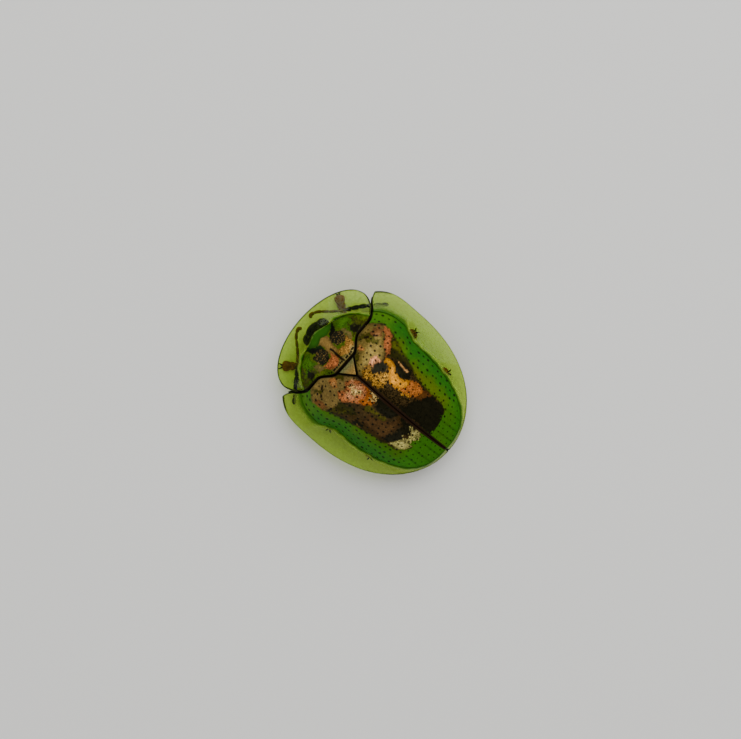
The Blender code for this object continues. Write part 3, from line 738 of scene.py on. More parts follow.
def lay_patches(x, y, patches, tint, glitter, seed):
    """Paint soft-edged patches whose edges are warped by noise at two sizes."""
    coarse, fine = PATCH_WARP
    for number, (colour, ragged, sparkle, outline) in enumerate(patches):
        draw = seed + 7 * number
        across = x + ragged * PATCH_SHIFT * value_noise(x, y, coarse, draw)
        along = y + ragged * PATCH_SHIFT * value_noise(x, y, coarse, draw + 1)
        depth = depth_in(across, along, outline)
        depth = depth + ragged * PATCH_FRAY * value_noise(x, y, fine, draw + 2)
        mask = band(-depth, 0, PATCH_SOFT + PATCH_BLUR * ragged)
        gain = (PATCH_MIDDLE_SHADE - PATCH_EDGE_SHADE) * smooth(depth / PATCH_EDGE)
        tint = blend(tint, colour * (PATCH_EDGE_SHADE + gain)[..., None], mask)
        glitter = glitter + (sparkle - glitter) * mask
    return tint, glitter


# Materials. Sizes and depths are in millimetres.

SPECK_SIZE = 0.055
SPECK_MEAN = 0.45
SPECK_GAIN = 1.9
CLOUD_SIZE = 0.25
HAZE_SIZE = 0.12
DULL_GAIN = 0.45
PEEL_SIZE = 0.16
PEEL_DEPTH = 0.010
NET_SIZE = 0.2
RIPPLE_SIZE = 0.35
RIPPLE_DEPTH = 0.015
FACET_SIZE = 0.035
FACET_DEPTH = 0.008
FINE_DETAIL = 3.0


def new_finish(name, **constants):
    """A Principled material with constant sockets set by name."""
    finish = bpy.data.materials.new(name)
    finish.use_nodes = True
    shader = finish.node_tree.nodes["Principled BSDF"]
    for key, value in constants.items():
        shader.inputs[key.replace("_", " ")].default_value = value
    return finish, finish.node_tree, shader


def feed(tree, shader, **sockets):
    """Link sockets to the shader's inputs by name."""
    for key, socket in sockets.items():
        tree.links.new(socket, shader.inputs[key.replace("_", " ")])


def add_node(tree, kind, links=None, **settings):
    """A node with its properties and inputs set, and some inputs linked from sockets."""
    made = tree.nodes.new(kind)
    for key, value in settings.items():
        if key in made.inputs:
            made.inputs[key].default_value = value
        else:
            setattr(made, key, value)
    for key, socket in (links or {}).items():
        tree.links.new(socket, made.inputs[key])
    return made


def sums(tree, operation, first, second):
    """One Math node on a socket and a number or a second socket."""
    made = add_node(tree, "ShaderNodeMath", {0: first}, operation=operation)
    if isinstance(second, (int, float)):
        made.inputs[1].default_value = second
    else:
        tree.links.new(second, made.inputs[1])
    return made.outputs[0]


def scaled(tree, socket, factor, offset):
    """A socket times a number, plus a number."""
    return sums(tree, "ADD", sums(tree, "MULTIPLY", socket, factor), offset)


def read(tree, name, output="Fac"):
    """A named attribute of the mesh."""
    return add_node(tree, "ShaderNodeAttribute", attribute_name=name).outputs[output]


def place(tree):
    """The object's own coordinates, in metres."""
    return add_node(tree, "ShaderNodeTexCoord").outputs["Object"]


def grain(tree, size, detail=2.0):
    """Noise whose blobs are about size millimetres across."""
    links = {"Vector": place(tree)}
    settings = {"Scale": 1 / (size * MM), "Detail": detail}
    return add_node(tree, "ShaderNodeTexNoise", links, **settings).outputs["Fac"]


def cells(tree, size, output="Color"):
    """Random cells about size millimetres across."""
    texture = add_node(tree, "ShaderNodeTexVoronoi", {"Vector": place(tree)}, Scale=1 / (size * MM))
    return texture.outputs[output]


def tinted(tree, amount):
    """The painted tint times a brightness socket."""
    grey = add_node(tree, "ShaderNodeCombineColor", {0: amount, 1: amount, 2: amount})
    links = {6: read(tree, "tint", "Color"), 7: grey.outputs[0]}
    settings = {"data_type": "RGBA", "blend_type": "MULTIPLY", "clamp_result": False}
    mix = add_node(tree, "ShaderNodeMix", links, **settings)
    mix.inputs[0].default_value = 1.0
    return mix.outputs[2]


def bumped(tree, height, depth):
    """Bump of a height socket of 0 to 1, depth millimetres high."""
    made = add_node(tree, "ShaderNodeBump", {"Height": height}, Strength=1.0, Distance=depth * MM)
    return made.outputs["Normal"]


def metal_finish():
    """The mirror-like back: painted patches, grains that glitter, and a faint orange-peel bump."""
    finish, tree, shader = new_finish(
        "metallic_back",
        Coat_Weight=0.05,
        Coat_Roughness=0.08,
        Specular_IOR_Level=0.08,
        Specular_Tint=(0.40, 0.46, 0.12, 1),
    )
    speck = add_node(tree, "ShaderNodeSeparateColor", {0: cells(tree, SPECK_SIZE)}).outputs[0]
    centred = sums(tree, "SUBTRACT", speck, SPECK_MEAN)
    glitter = sums(tree, "MULTIPLY", centred, read(tree, "glitter"))
    bright = scaled(tree, glitter, SPECK_GAIN, 1.0)
    cloud = scaled(tree, grain(tree, CLOUD_SIZE), 0.3, 0.85)
    rough = scaled(tree, grain(tree, HAZE_SIZE), 0.22, 0.24)
    dull = sums(tree, "MULTIPLY", read(tree, "dull"), DULL_GAIN)
    feed(
        tree,
        shader,
        Base_Color=tinted(tree, sums(tree, "MULTIPLY", bright, cloud)),
        Metallic=read(tree, "metal"),
        Roughness=sums(tree, "ADD", rough, dull),
        Normal=bumped(tree, grain(tree, PEEL_SIZE, FINE_DETAIL), PEEL_DEPTH),
    )
    return finish


def clear_finish():
    """The clear rim: a thin yellow-green window, finely netted, opaque where it is painted."""
    finish, tree, shader = new_finish("clear_rim", IOR=1.12, Coat_Roughness=0.06)
    clear = read(tree, "clear")
    feed(
        tree,
        shader,
        Base_Color=tinted(tree, scaled(tree, cells(tree, NET_SIZE, "Distance"), -0.25, 1.05)),
        Transmission_Weight=clear,
        Coat_Weight=sums(tree, "MULTIPLY", clear, 0.12),
        Roughness=scaled(tree, clear, -0.45, 0.48),
        Normal=bumped(tree, grain(tree, RIPPLE_SIZE), RIPPLE_DEPTH),
    )
    return finish


def cuticle_finish(name, roughness, size, depth, spread=0.35):
    """Plain horny skin: the painted colour, mottled, with a fine bump."""
    settings = {"Coat_Weight": 0.04, "Coat_Roughness": 0.2, "Specular_IOR_Level": 0.12}
    finish, tree, shader = new_finish(name, **settings)
    feed(
        tree,
        shader,
        Base_Color=tinted(tree, scaled(tree, grain(tree, size * 2), spread, 1 - spread / 2)),
        Roughness=scaled(tree, grain(tree, size), 0.25, roughness - 0.12),
        Normal=bumped(tree, grain(tree, size, FINE_DETAIL), depth),
    )
    return finish


def eye_finish():
    """Black eyes with tiny facets."""
    finish, tree, shader = new_finish("eye_facets", Coat_Weight=0.08, Specular_IOR_Level=0.2)
    facet = cells(tree, FACET_SIZE, "Distance")
    feed(
        tree,
        shader,
        Base_Color=tinted(tree, scaled(tree, facet, 0.6, 0.7)),
        Roughness=scaled(tree, facet, 0.3, 0.16),
        Normal=bumped(tree, sums(tree, "MULTIPLY", facet, -1.0), FACET_DEPTH),
    )
    return finish


# Looks: a material and a slot name, which nothing reads
METAL = (metal_finish(), "copper_shell")
CLEAR = (clear_finish(), "copper_shell")
HORNY = (cuticle_finish("brown_horn", 0.34, 0.08, 0.006), "dark_brown_cuticle")
BELLY = (cuticle_finish("belly_skin", 0.42, 0.10, 0.010, 0.5), "belly_cuticle")
EYE = (eye_finish(), "black_eye")


def metallic_plate(tint, metal, glitter, dull):
    """What add_piece needs of a plate's attributes: painted above, black and dull below."""
    bare = np.zeros_like(metal)
    above = {"metal": metal, "glitter": glitter, "dull": dull}
    values = {key: [array, bare + (key == "dull")] for key, array in above.items()}
    return {"tints": [tint, np.broadcast_to(BLACK, tint.shape)], **values}


# Wing cases

WING_ROWS = 280
WING_COLUMNS = 140
RIM_COLUMNS = 40
DISC_CROWDING = 0.12
RIM_CROWDING = 0.1
SHOULDER_SHARE = 0.3
BASE_FADE = 0.35
STRIAE = 10
ROW_HALF_WIDTH = 3.6
ROW_SPAN = STRIAE + 0.4
FIRST_ROW = 0.75
PUNCTURES_IN_ROW = 23
ROW_ENDS = (0.03, 0.97)
ROW_JITTER = (0.008, 0.012)
STAGGER = 0.02
LOST_PUNCTURES = 0.06
BARE_EDGE = 0.985
BARE_FRONT = 0.2
PUNCTURE_RADIUS = 0.068
PUNCTURE_DEPTH = 0.014
PUNCTURE_SEEDS = {1: 31, -1: 32}
SEAM_BAND = 0.15
BASE_BAND = 0.12
HOOK_LENGTH = 1.2
SHOULDER_Y = -1.3
REAR_GREEN_Y = 3.9
TOP_FADE_Y = 4.0
STRIPES_Y = 4.3
SEAM_SHOWS_FROM = 0.9

# For each side: seed, colour beside the suture, edge of the metallic top, and its patches
WING_PAINT = {
    1: (100, FOREST, LEFT_TOP, LEFT_PATCHES),
    -1: (200, OLIVE, RIGHT_TOP, RIGHT_PATCHES),
}


def edge_run(v, front, widest, rear):
    """y along an outer edge: straight to the widest place, then a quarter of a sine to the rear."""
    turn = math.pi / 2 * np.clip((v - SHOULDER_SHARE) / (1 - SHOULDER_SHARE), 0, 1)
    forward = front + (widest - front) * v / SHOULDER_SHARE
    return np.where(v < SHOULDER_SHARE, forward, widest + (rear - widest) * np.sin(turn))


def disc_corner():
    """Where the disc's edge meets the base line, found by halving."""
    low, high = APEX_Y - DISC_FRONT_RUN + 0.01, APEX_Y
    for _ in range(40):
        middle = (low + high) / 2
        ahead = middle < float(wing_front_y(disc_edge_x(np.array(middle))))
        low, high = (middle, high) if ahead else (low, middle)
    return middle


DISC_CORNER_Y = disc_corner()
DISC_CORNER_X = float(disc_edge_x(np.array(DISC_CORNER_Y)))


def suture_line(v):
    """The inner edge of a wing case, from the scutellum's tip to the rear."""
    front = float(wing_front_y(np.zeros(1))[0])
    return np.stack([np.full_like(v, SEAM / 2), front + (DISC_REAR_Y - front) * v], -1)


def disc_edge(v):
    """The line between opaque disc and clear rim."""
    y = edge_run(v, DISC_CORNER_Y, APEX_Y, DISC_REAR_Y)
    return np.stack([np.maximum(disc_edge_x(y), SEAM / 2), y], -1)


def outer_edge(v):
    """The outline of the wing case."""
    y = edge_run(v, HUMERUS_Y, WIDEST_Y, REAR_Y)
    return np.stack([np.maximum(outline_x(y), SEAM / 2), y], -1)


def wing_plan(u, v, inner, outer, x_from, x_to):
    """Plan of a wing plate, u outwards and v from base to rear.

    Its front edge runs from one x to another along the scutellum and the base line. That line's
    bend fades out along the wing case.
    """

    def front(share):
        """The front edge, by share of its width."""
        x = x_from + (x_to - x_from) * share
        return np.stack([x, wing_front_y(x)], -1)

    return ruled(u, v, inner, outer, [(front, lambda along: 1 - smooth(along / BASE_FADE))])


def row_width(y):
    """Half width that the rows of punctures share: the disc's, but no less than a given one."""
    return np.maximum(disc_edge_x(y), ROW_HALF_WIDTH)


def punctures(seed):
    """Places and radii of the punctures: rows along the disc, jittered, larger on the flank.

    A row keeps its share of row_width, so it runs straight to the rear and ends at the disc's edge.
    """
    draw = np.random.default_rng(seed)
    along, across = ROW_JITTER
    steps = np.linspace(*ROW_ENDS, PUNCTURES_IN_ROW)
    v, row = np.meshgrid(steps, np.arange(STRIAE), indexing="ij")
    v = v + (row % 2) * STAGGER + draw.uniform(-along, along, v.shape)
    u = (row + FIRST_ROW) / ROW_SPAN + draw.uniform(-across, across, v.shape)
    front = base_y(u * DISC_HALF_WIDTH)
    y = front + (DISC_REAR_Y - front) * v
    x = u * row_width(y)
    radius = PUNCTURE_RADIUS * draw.uniform(0.75, 1.25, u.shape) * (0.85 + 0.3 * u**2)
    radius = radius * (1 - 0.25 * smooth((y - 4.2) / 1.2))
    kept = draw.uniform(size=u.shape) > LOST_PUNCTURES
    kept &= (disc_radius(x, y) < BARE_EDGE) & (y > wing_front_y(x) + BARE_FRONT)
    return raised(wing_top, x, y)[kept], radius[kept]


def puncture_field(points, places, radii):
    """How deep each point lies in a puncture: the largest exp(-(d / r)^4) over all of them."""
    field = np.zeros(points.shape[:2])
    for spot, radius in zip(places, radii):
        near = ((points - spot) ** 2).sum(-1) / radius**2
        field = np.maximum(field, np.exp(-(near**2)))
    return field


def paint_wing(side, plan, u, v, pits, from_base):
    """Colours of a disc: green flank, brown top, patches, dark suture and base, dark punctures."""
    x, y = plan[..., 0], plan[..., 1]
    seed, inner, border, patches = WING_PAINT[side]
    wander = value_noise(x, y, 0.5, seed)

    # The green flank, with striped rows near the rear
    tint = blend(inner, GREEN, smooth((u - 0.62) / 0.25 + 0.3 * wander))
    tint = blend(tint, LEAF_GREEN, 0.5 * smooth(value_noise(x, y, 0.8, seed + 3)) * (u < 0.95))
    shoulder = smooth(SHOULDER_Y - y)
    outer = smooth((u - 0.78) / 0.14 + 0.2 * wander)
    tint = blend(tint, DEEP_EMERALD, outer * 0.6 * (1 - shoulder))
    tint = blend(tint, LEAF_GREEN, 0.6 * shoulder * smooth((u - 0.75) / 0.2))
    tint = blend(tint, REAR_GREEN, smooth((y - REAR_GREEN_Y) / 0.9) * (0.85 + 0.15 * wander))
    row = x / row_width(y) * ROW_SPAN - FIRST_ROW
    stripe = np.exp(-(((row - np.round(row)) / 0.17) ** 2)) * (np.round(row) % 2)
    tint = blend(tint, BLACK, 0.45 * stripe * smooth((y - STRIPES_Y) / 0.8) * (0.7 + 0.3 * wander))

    # The metallic top
    glitter = np.full(x.shape, 0.15)
    border = np.array(border)
    line = np.interp(y, border[:, 1], border[:, 0], right=-1.0)
    frayed = (0.05 + 0.07 * (y > 3)) * value_noise(x, y, 0.12, seed + 5) + 0.05 * wander
    top = band(x, line + frayed, 0.16)
    brown = blend(BROWN, DARK_BROWN, 0.5 + 0.5 * wander)
    brown = blend(brown, tint, smooth((y - TOP_FADE_Y) / 0.35))
    painted, sparkle = lay_patches(x, y, patches + BASE_DASHES, brown, glitter + 0.3, seed)
    dark_edge = smooth((x - line) / 0.15 + 1.2) * smooth((y + 1.2) / 1.2)
    painted = blend(painted, DARK_OLIVE, 0.75 * dark_edge)
    mottle = 0.22 * value_noise(x, y * 0.6, 0.15, seed + 9)
    mottle = mottle + 0.16 * value_noise(x, y, 0.05, seed + 10)
    tint = blend(tint, painted * (1 + mottle)[..., None], top)
    glitter = glitter + (sparkle - glitter) * top

    # Dark lines and punctures
    suture = band(x, SEAM_BAND * (0.75 + 0.4 * np.sin(math.pi * v)), 0.04)
    base = band(from_base, BASE_BAND, 0.03)
    spots = np.clip(pits * 1.9, 0, 1)
    tint = blend(blend(blend(tint, SEAM_BROWN, suture), LINE_BROWN, base), BLACK, spots)
    dull = np.maximum.reduce([suture, base, spots])
    metal = (0.5 + 0.25 * top * lightness(tint)) * (1 - dull)
    return tint, metal, glitter * (1 - dull), dull


def wing_piece(name, word, side, look, faces, **attributes):
    """A plate of one wing case, mirrored to its side."""
    grids = [mirrored(face, side) for face in faces]
    flips = (side < 0, side > 0)
    add_piece(name + word, "elytron_" + word, look, grids, flips=flips, **attributes)


def make_wing_disc(word, side):
    """The opaque, domed part of a wing case."""
    u, v = grid_steps(WING_ROWS, WING_COLUMNS, DISC_CROWDING)
    plan = wing_plan(u, v, suture_line, disc_edge, SEAM / 2, DISC_CORNER_X)
    top = raised(wing_top, plan[..., 0], plan[..., 1])
    pits = puncture_field(top, *punctures(PUNCTURE_SEEDS[side]))
    faces = thin_shell(plan, wing_top, DISC_WALL, -PUNCTURE_DEPTH * pits)
    painted = paint_wing(side, plan, u, v, pits, from_side(top, 0))
    wing_piece("wing_disc_", word, side, METAL, faces, **metallic_plate(*painted))


def make_wing_rim(word, side):
    """The clear rim round a disc: a dark base line, and a denser root with painted shade by the
    disc.
    """
    u, v = grid_steps(WING_ROWS, RIM_COLUMNS, RIM_CROWDING)
    plan = wing_plan(u, v, disc_edge, outer_edge, DISC_CORNER_X, HUMERUS_X)
    x, y = plan[..., 0], plan[..., 1]
    wander = value_noise(x, y, 0.35, 41)
    shoulder = smooth((-0.6 - y) / 0.8)
    root = 1 - smooth((from_side(plan, 1) + 0.05 * wander) / (0.24 + 0.4 * shoulder))
    line = band(from_side(plan, 0), BASE_BAND - 0.06 * u, 0.03)
    hook = smooth((HUMERUS_Y + HOOK_LENGTH - y) / 0.6)
    edge = band(from_side(plan, 1, True), 0.03 + 0.05 * hook, 0.02)
    seam = band(from_side(plan, 0, True), 0.09, 0.03) * (v > SEAM_SHOWS_FROM)
    black = np.maximum.reduce([line, edge * hook, seam])
    clear = (1 - (0.9 - 0.3 * shoulder) * root) * (1 - black) * (1 - 0.45 * edge)
    # Deep green over the root, strongest against the disc and away from the shoulder, is painted
    # shade in the crease.
    tint = blend(blend(RIM_TINT, GREEN, root), DEEP_GREEN, root**2 * 0.4 * (1 - shoulder))
    tint = blend(blend(tint, OLIVE, 0.6 * edge), BLACK, black)
    faces = thin_shell(plan, wing_top, RIM_WALL)
    wing_piece("wing_rim_", word, side, CLEAR, faces, tints=[tint, tint], clear=[clear, clear])


# Pronotum and scutellum

SHIELD_ROWS = 280
SHIELD_COLUMNS = 150
HOOD_STEPS = 260
HOOD_COLUMNS = 60
HOOD_FADE = 0.2
SCUTELLUM_ROWS = 60
SCUTELLUM_COLUMNS = 50
OPAQUE_HALF_WIDTH = 3.2
OPAQUE_Y = float(closed_rear_y(np.array(OPAQUE_HALF_WIDTH)))
OPAQUE_RUN = 1.87
OPAQUE_BULGE = 0.22
OPAQUE_TURN = 1.48
BASAL_HOLES = 15
BASAL_HOLE_RADIUS = 0.07
SIDE_HOLES = 150
SIDE_HOLE_RADIUS = 0.032
SHIELD_HOLE_DEPTH = 0.02


def opaque_front_y(x):
    """Front edge of the opaque disc: a superellipse with a small bulge over the head."""
    across = np.clip(np.abs(x) / OPAQUE_HALF_WIDTH, 0, 1)
    sides = OPAQUE_RUN * (1 - across**2.5) ** 0.714
    bulge = OPAQUE_BULGE * np.exp(-((x / 0.6) ** 2))
    return OPAQUE_Y - sides - bulge * smooth((1 - across) / 0.3)


def shield_holes():
    """Places and radii of the shield's punctures: a row along its base, fine ones at its sides."""
    draw = np.random.default_rng(51)
    jitter = draw.uniform(-0.04, 0.04, BASAL_HOLES)
    across = np.linspace(-1.15, 1.15, BASAL_HOLES) + jitter
    along = shield_rear_y(across) - 0.24 + draw.uniform(-0.04, 0.04, BASAL_HOLES)
    spread = draw.uniform((-2.8, -4.7), (2.8, -3.0), (SIDE_HOLES, 2))
    beside = spread[np.hypot(spread[:, 0] / 1.5, (spread[:, 1] + 4.0) / 1.3) > 1]
    x, y = np.vstack([np.column_stack([across, along]), beside]).T
    radii = np.repeat([BASAL_HOLE_RADIUS, SIDE_HOLE_RADIUS], [BASAL_HOLES, len(beside)])
    return raised(shield_top, x, y), radii


def make_shield_disc():
    """The opaque middle of the pronotum, with its paired dark blotches and basal punctures."""
    u, t = grid_steps(SHIELD_ROWS, SHIELD_COLUMNS, v_from=-1)
    x = OPAQUE_HALF_WIDTH * np.sin(OPAQUE_TURN * t) / math.sin(OPAQUE_TURN)
    y = opaque_front_y(x) * (1 - u) + closed_rear_y(x) * u
    top = raised(shield_top, x, y)
    pits = puncture_field(top, *shield_holes())
    plan = np.stack([x, y], -1)
    faces = thin_shell(plan, shield_top, SHIELD_WALL, -SHIELD_HOLE_DEPTH * pits)
    wander = value_noise(x, y, 0.45, 52)
    tint = blend(FOREST, OLIVE, 0.35 - 0.3 * wander)
    tint = blend(tint, DEEP_GREEN, 0.15 + 0.3 * wander)
    mottle = smooth(2.5 * value_noise(x, y, 0.16, 53) - 0.9) * smooth((np.abs(x) - 1.0) / 0.4)
    tint = blend(tint, DARK_BROWN, 0.7 * mottle)
    tint, glitter = lay_patches(x, y, SHIELD_PATCHES, tint, np.full(x.shape, 0.3), 300)
    blotch = np.hypot((np.abs(x + 0.03) - 0.82) / 0.5, (y + 3.78) / 0.42)
    flecks = smooth((value_noise(x, y, 0.045, 54) - 0.34) / 0.2) * smooth((1.15 - blotch) / 0.3)
    tint = blend(tint, BEIGE, 0.72 * flecks)
    from_edge = from_side(top, 1)
    tint = blend(tint, DEEP_GREEN, 0.6 * band(from_edge, 0.10, 0.1))
    # A thin pale-green line just behind the disc's front edge, over the head, is a painted
    # highlight.
    painted_highlight = np.exp(-(((from_edge - 0.07) / 0.04) ** 2)) * smooth((1.05 - np.abs(x - 0.1)) / 0.3)
    tint = blend(tint, HIGHLIGHT_GREEN, 0.6 * painted_highlight * (0.7 + 0.5 * value_noise(x, y, 0.09, 55)))
    rear = band(from_side(top, 1, True), 0.12, 0.03)
    spots = np.clip(1.4 * pits, 0, 1)
    tint = blend(blend(tint, BLACK, spots), LINE_BROWN, rear)
    dull = np.maximum(rear, spots)
    middle = smooth((1.7 - np.abs(x)) / 0.5) * smooth((y + 4.7) / 0.4)
    metal = (0.5 + 0.2 * lightness(tint) * middle) * (1 - dull)
    attributes = metallic_plate(tint, metal, glitter, dull)
    add_piece("pronotum_disc", "pronotum", METAL, faces, flips=(True, False), **attributes)


def hood_inner(t):
    """The disc's front edge, from the left corner round to the right one."""
    x = OPAQUE_HALF_WIDTH * np.cos(math.pi * t)
    return np.stack([x, opaque_front_y(x)], -1)


def hood_outer(t):
    """The front edge of the shield, from corner to corner."""
    turn = math.pi * t
    run = SHIELD_CORNER_Y - FRONT_Y
    return np.stack([SHIELD_HALF_WIDTH * np.cos(turn), SHIELD_CORNER_Y - run * np.sin(turn)], -1)


def hood_side(side, share):
    """The shield's rear edge on one side, from the disc out to the corner."""
    reach = (SHIELD_HALF_WIDTH - OPAQUE_HALF_WIDTH) * np.sin(math.pi / 2 * share)
    x = OPAQUE_HALF_WIDTH + reach
    return np.stack([side * x, closed_rear_y(x)], -1)


def hood_plan(u, t):
    """Plan of the clear hood, u from the disc to the edge and t from left to right."""
    ends = [
        (lambda share: hood_side(1, share), lambda along: 1 - smooth(along / HOOD_FADE)),
        (lambda share: hood_side(-1, share), lambda along: 1 - smooth((1 - along) / HOOD_FADE)),
    ]
    return ruled(u, t, hood_inner, hood_outer, ends)


def make_hood():
    """The clear front of the pronotum, with a thin dark edge."""
    u, t = grid_steps(HOOD_STEPS, HOOD_COLUMNS, RIM_CROWDING)
    plan = hood_plan(u, t)
    x, y = plan[..., 0], plan[..., 1]
    wander = value_noise(x, y, 0.35, 61)
    root = 1 - smooth((from_side(plan, 1) + 0.1 * wander) / 0.25)
    root = root * smooth((np.abs(x) - 1.1) / 0.5)
    edge = band(from_side(plan, 1, True), 0.045, 0.02)
    rear = np.minimum(from_side(plan, 0), from_side(plan, 0, True))
    line = band(rear, 0.09 - 0.03 * u, 0.03)
    clear = (1 - 0.8 * root) * (1 - edge) * (1 - line)
    tint = blend(blend(blend(RIM_TINT, GREEN, root), BLACK, edge), LINE_BROWN, line)
    faces = thin_shell(plan, shield_top, RIM_WALL)
    attributes = {"tints": [tint, tint], "clear": [clear, clear], "flips": (True, False)}
    add_piece("pronotum_hood", "pronotum", CLEAR, faces, **attributes)


def make_scutellum():
    """The grey-olive to beige triangle between the wing cases, edged in black."""
    u, v = grid_steps(SCUTELLUM_ROWS, SCUTELLUM_COLUMNS, u_from=-1)
    base = float(shield_rear_y(np.zeros(1))[0]) + BASE_GAP
    tip = SCUTELLUM_TIP_Y - BASE_GAP
    x = u * (SCUTELLUM_HALF_WIDTH - BASE_GAP) * (1 - v) ** 0.95
    y = base + (tip - base) * v
    faces = thin_shell(np.stack([x, y], -1), wing_top, DISC_WALL)
    edge = band(from_border(raised(wing_top, x, y)), 0.08, 0.04)
    tint = blend(blend(GREY_OLIVE, BEIGE, smooth(1.4 * v)), BLACK, edge)
    metal = 0.4 * (1 - edge)
    values = {"metal": [metal, metal], "glitter": [metal, metal], "dull": [edge, edge]}
    tints = [tint, tint]
    add_piece("scutellum_plate", "scutellum", METAL, faces, tints, (False, True), **values)


# Head, eyes and feelers

HEAD_CENTRE = np.array((0.0, -5.12, 0.96))
HEAD_SIZES = (0.80, 0.64, 0.54)
EYE_OFFSET = np.array((0.64, 0.0, 0.02))
EYE_SIZES = (0.46, 0.48, 0.48)
MOUTH_OFFSET = np.array((0, -0.12, -0.36))
MOUTH_SIZES = (0.42, 0.36, 0.32)
PALP_ROOT = np.array((0.22, -0.10, -0.06))
PALP_REACH = np.array((0.12, -0.36, -0.02))
PALP_RINGS = 19
PALP_RADIUS = 0.13
PALP_JOINTS = 3
FEELER_ROUTE = (
    (0.46, -5.98, 0.94),
    (0.62, -6.16, 0.95),
    (1.08, -5.94, 1.01),
    (1.68, -5.30, 1.04),
    (2.24, -4.78, 1.10),
    (2.86, -4.30, 0.92),
    (3.72, -3.70, 0.56),
    (4.62, -3.10, 0.46),
)
RIGHT_FEELER_SHIFT = ((6, (-0.10, 0.06, 0.0)), (7, (-0.14, 0.32, 0.0)))
FEELER_JOINTS = 11
RINGS_IN_JOINT = 18
FEELER_RADIUS = 0.105
CLUB_FROM = 5.4
CLUB_SWELLING = 0.055


def make_head():
    """The head: a broad skull, a paler mouth shield and two short palps under it, two eyes."""
    skull = ellipsoid(HEAD_CENTRE, HEAD_SIZES, rings=48, sides=72)
    mouth_at = HEAD_CENTRE + MOUTH_OFFSET
    grids = [skull, ellipsoid(mouth_at, MOUTH_SIZES, rings=30, sides=40)]
    steps = np.linspace(0, 1, PALP_RINGS)
    radii = PALP_RADIUS * round_off(2 * steps - 1, 6)
    radii = radii * (1 - 0.25 * np.cos(steps * PALP_JOINTS * math.tau) ** 2)
    for side in (-1, 1):
        root = mouth_at + mirrored(PALP_ROOT, side)
        tip = root + mirrored(PALP_REACH, side)
        grids.append(ring_tube(root + (tip - root) * steps[:, None], radii, 16))
    low = smooth((HEAD_CENTRE[2] - 0.05 - skull[..., 2]) / 0.2)
    tints = [blend(BLACK, HORN, low), *one_tint(grids[1:], HORN)]
    add_piece("head_capsule", "head", HORNY, grids, tints)
    for word, side in SIDES:
        centre = HEAD_CENTRE + mirrored(EYE_OFFSET, side)
        globe = [ellipsoid(centre, EYE_SIZES, rings=60, sides=80)]
        add_piece("eye_globe_" + word, "eye_" + word, EYE, globe, one_tint(globe, BLACK))


def feeler_path(side, count):
    """The middle line of a feeler, out from the head and back under the rim."""
    route = np.array(FEELER_ROUTE)
    if side < 0:
        for index, shift in RIGHT_FEELER_SHIFT:
            route[index] += shift
    return spline(mirrored(route, side), count)


def make_feeler(word, side):
    """Eleven joints, slim and honey brown at first, the last five a thick black club."""
    count = FEELER_JOINTS * RINGS_IN_JOINT + 1
    along = np.linspace(0, FEELER_JOINTS, count)
    inside = along - np.floor(np.minimum(along, FEELER_JOINTS - 1e-6))
    club = smooth((along - CLUB_FROM + 0.4) / 0.8)
    bead = round_off(2 * inside - 1, 6)
    radii = (FEELER_RADIUS + CLUB_SWELLING * club) * (0.55 + 0.45 * bead)
    radii = radii * (0.85 + 0.15 * smooth(inside / 0.7))
    tip = np.sqrt(np.clip((FEELER_JOINTS - along) / 0.5, 0, 1))
    radii = radii * tip * np.clip(along / 0.1, 0, 1)
    radii[: RINGS_IN_JOINT + 1] *= 1.25
    tube = ring_tube(feeler_path(side, count), radii, 24)
    flat = np.ones(tube.shape[:2])
    tint = blend(FEELER_BROWN, BLACK, club[:, None] * flat)
    tint = blend(tint, DARK_BROWN, 0.5 * (1 - bead[:, None]) * flat)
    add_piece("feeler_" + word, "antenna_" + word, HORNY, [tube], [tint])


# Legs

MID_LEG = ((1.05, -1.20), (2.75, -1.75, 0.70), (3.05, -0.55, 0.40), (4.28, -0.30))
LEG_ROUTES = {
    "front_left": ((0.75, -3.45), (2.05, -3.35, 0.64), (2.42, -4.44, 0.30), (3.24, -5.38)),
    "front_right": ((0.75, -3.45), (2.05, -3.35, 0.64), (2.02, -4.58, 0.34), (2.74, -5.70)),
    "mid_left": MID_LEG,
    "mid_right": MID_LEG,
    "hind_left": ((1.10, 0.50), (2.75, 0.80, 0.70), (2.85, 2.25, 0.40), (3.88, 2.95)),
    "hind_right": ((1.10, 0.50), (2.75, 0.80, 0.70), (2.80, 2.30, 0.40), (3.68, 3.10)),
}
BELLY_Z = node_box("thorax")[0][2]
GAP = 0.3
COXA_RADIUS = 0.36
COXA_Z = BELLY_Z - GAP - COXA_RADIUS
TOE_Z = 0.2
COXA_SIZES = (COXA_RADIUS, COXA_RADIUS, COXA_RADIUS * 0.95)
KNEE_SIZES = (0.21, 0.21, 0.20)
FEMUR_RADII = (0.18, 0.36, 0.20)
TIBIA_RADII = (0.16, 0.22, 0.26)
CLAW_JOINT_RADII = (0.09, 0.11, 0.13)
CLAW_JOINT_LENGTH = 0.55
TIP_RISE = np.array((0, 0, 0.04))
PADS = ((0.30, 0.24, 0.02), (0.28, 0.27, 0.30), (0.36, 0.34, 0.62))
PAD_HEIGHT = 0.25
PAD_Z = 0.15
CLAW_RADIUS = 0.075
CLAW_REACH = 0.24
CLAW_SPREAD = 0.17
CLAW_DROP = 0.15


def limb(start, end, radii, flatten=0.85):
    """A straight joint: radius eased through first, middle and last, round at both ends."""
    t = np.linspace(0, 1, 40)
    first, middle, last = radii
    body = first * (1 - t) ** 2 + 2 * middle * 1.2 * t * (1 - t) + last * t**2
    path = start + (end - start) * t[:, None]
    return ring_tube(path, body * round_off(2 * t - 1, 14), 24, flatten)


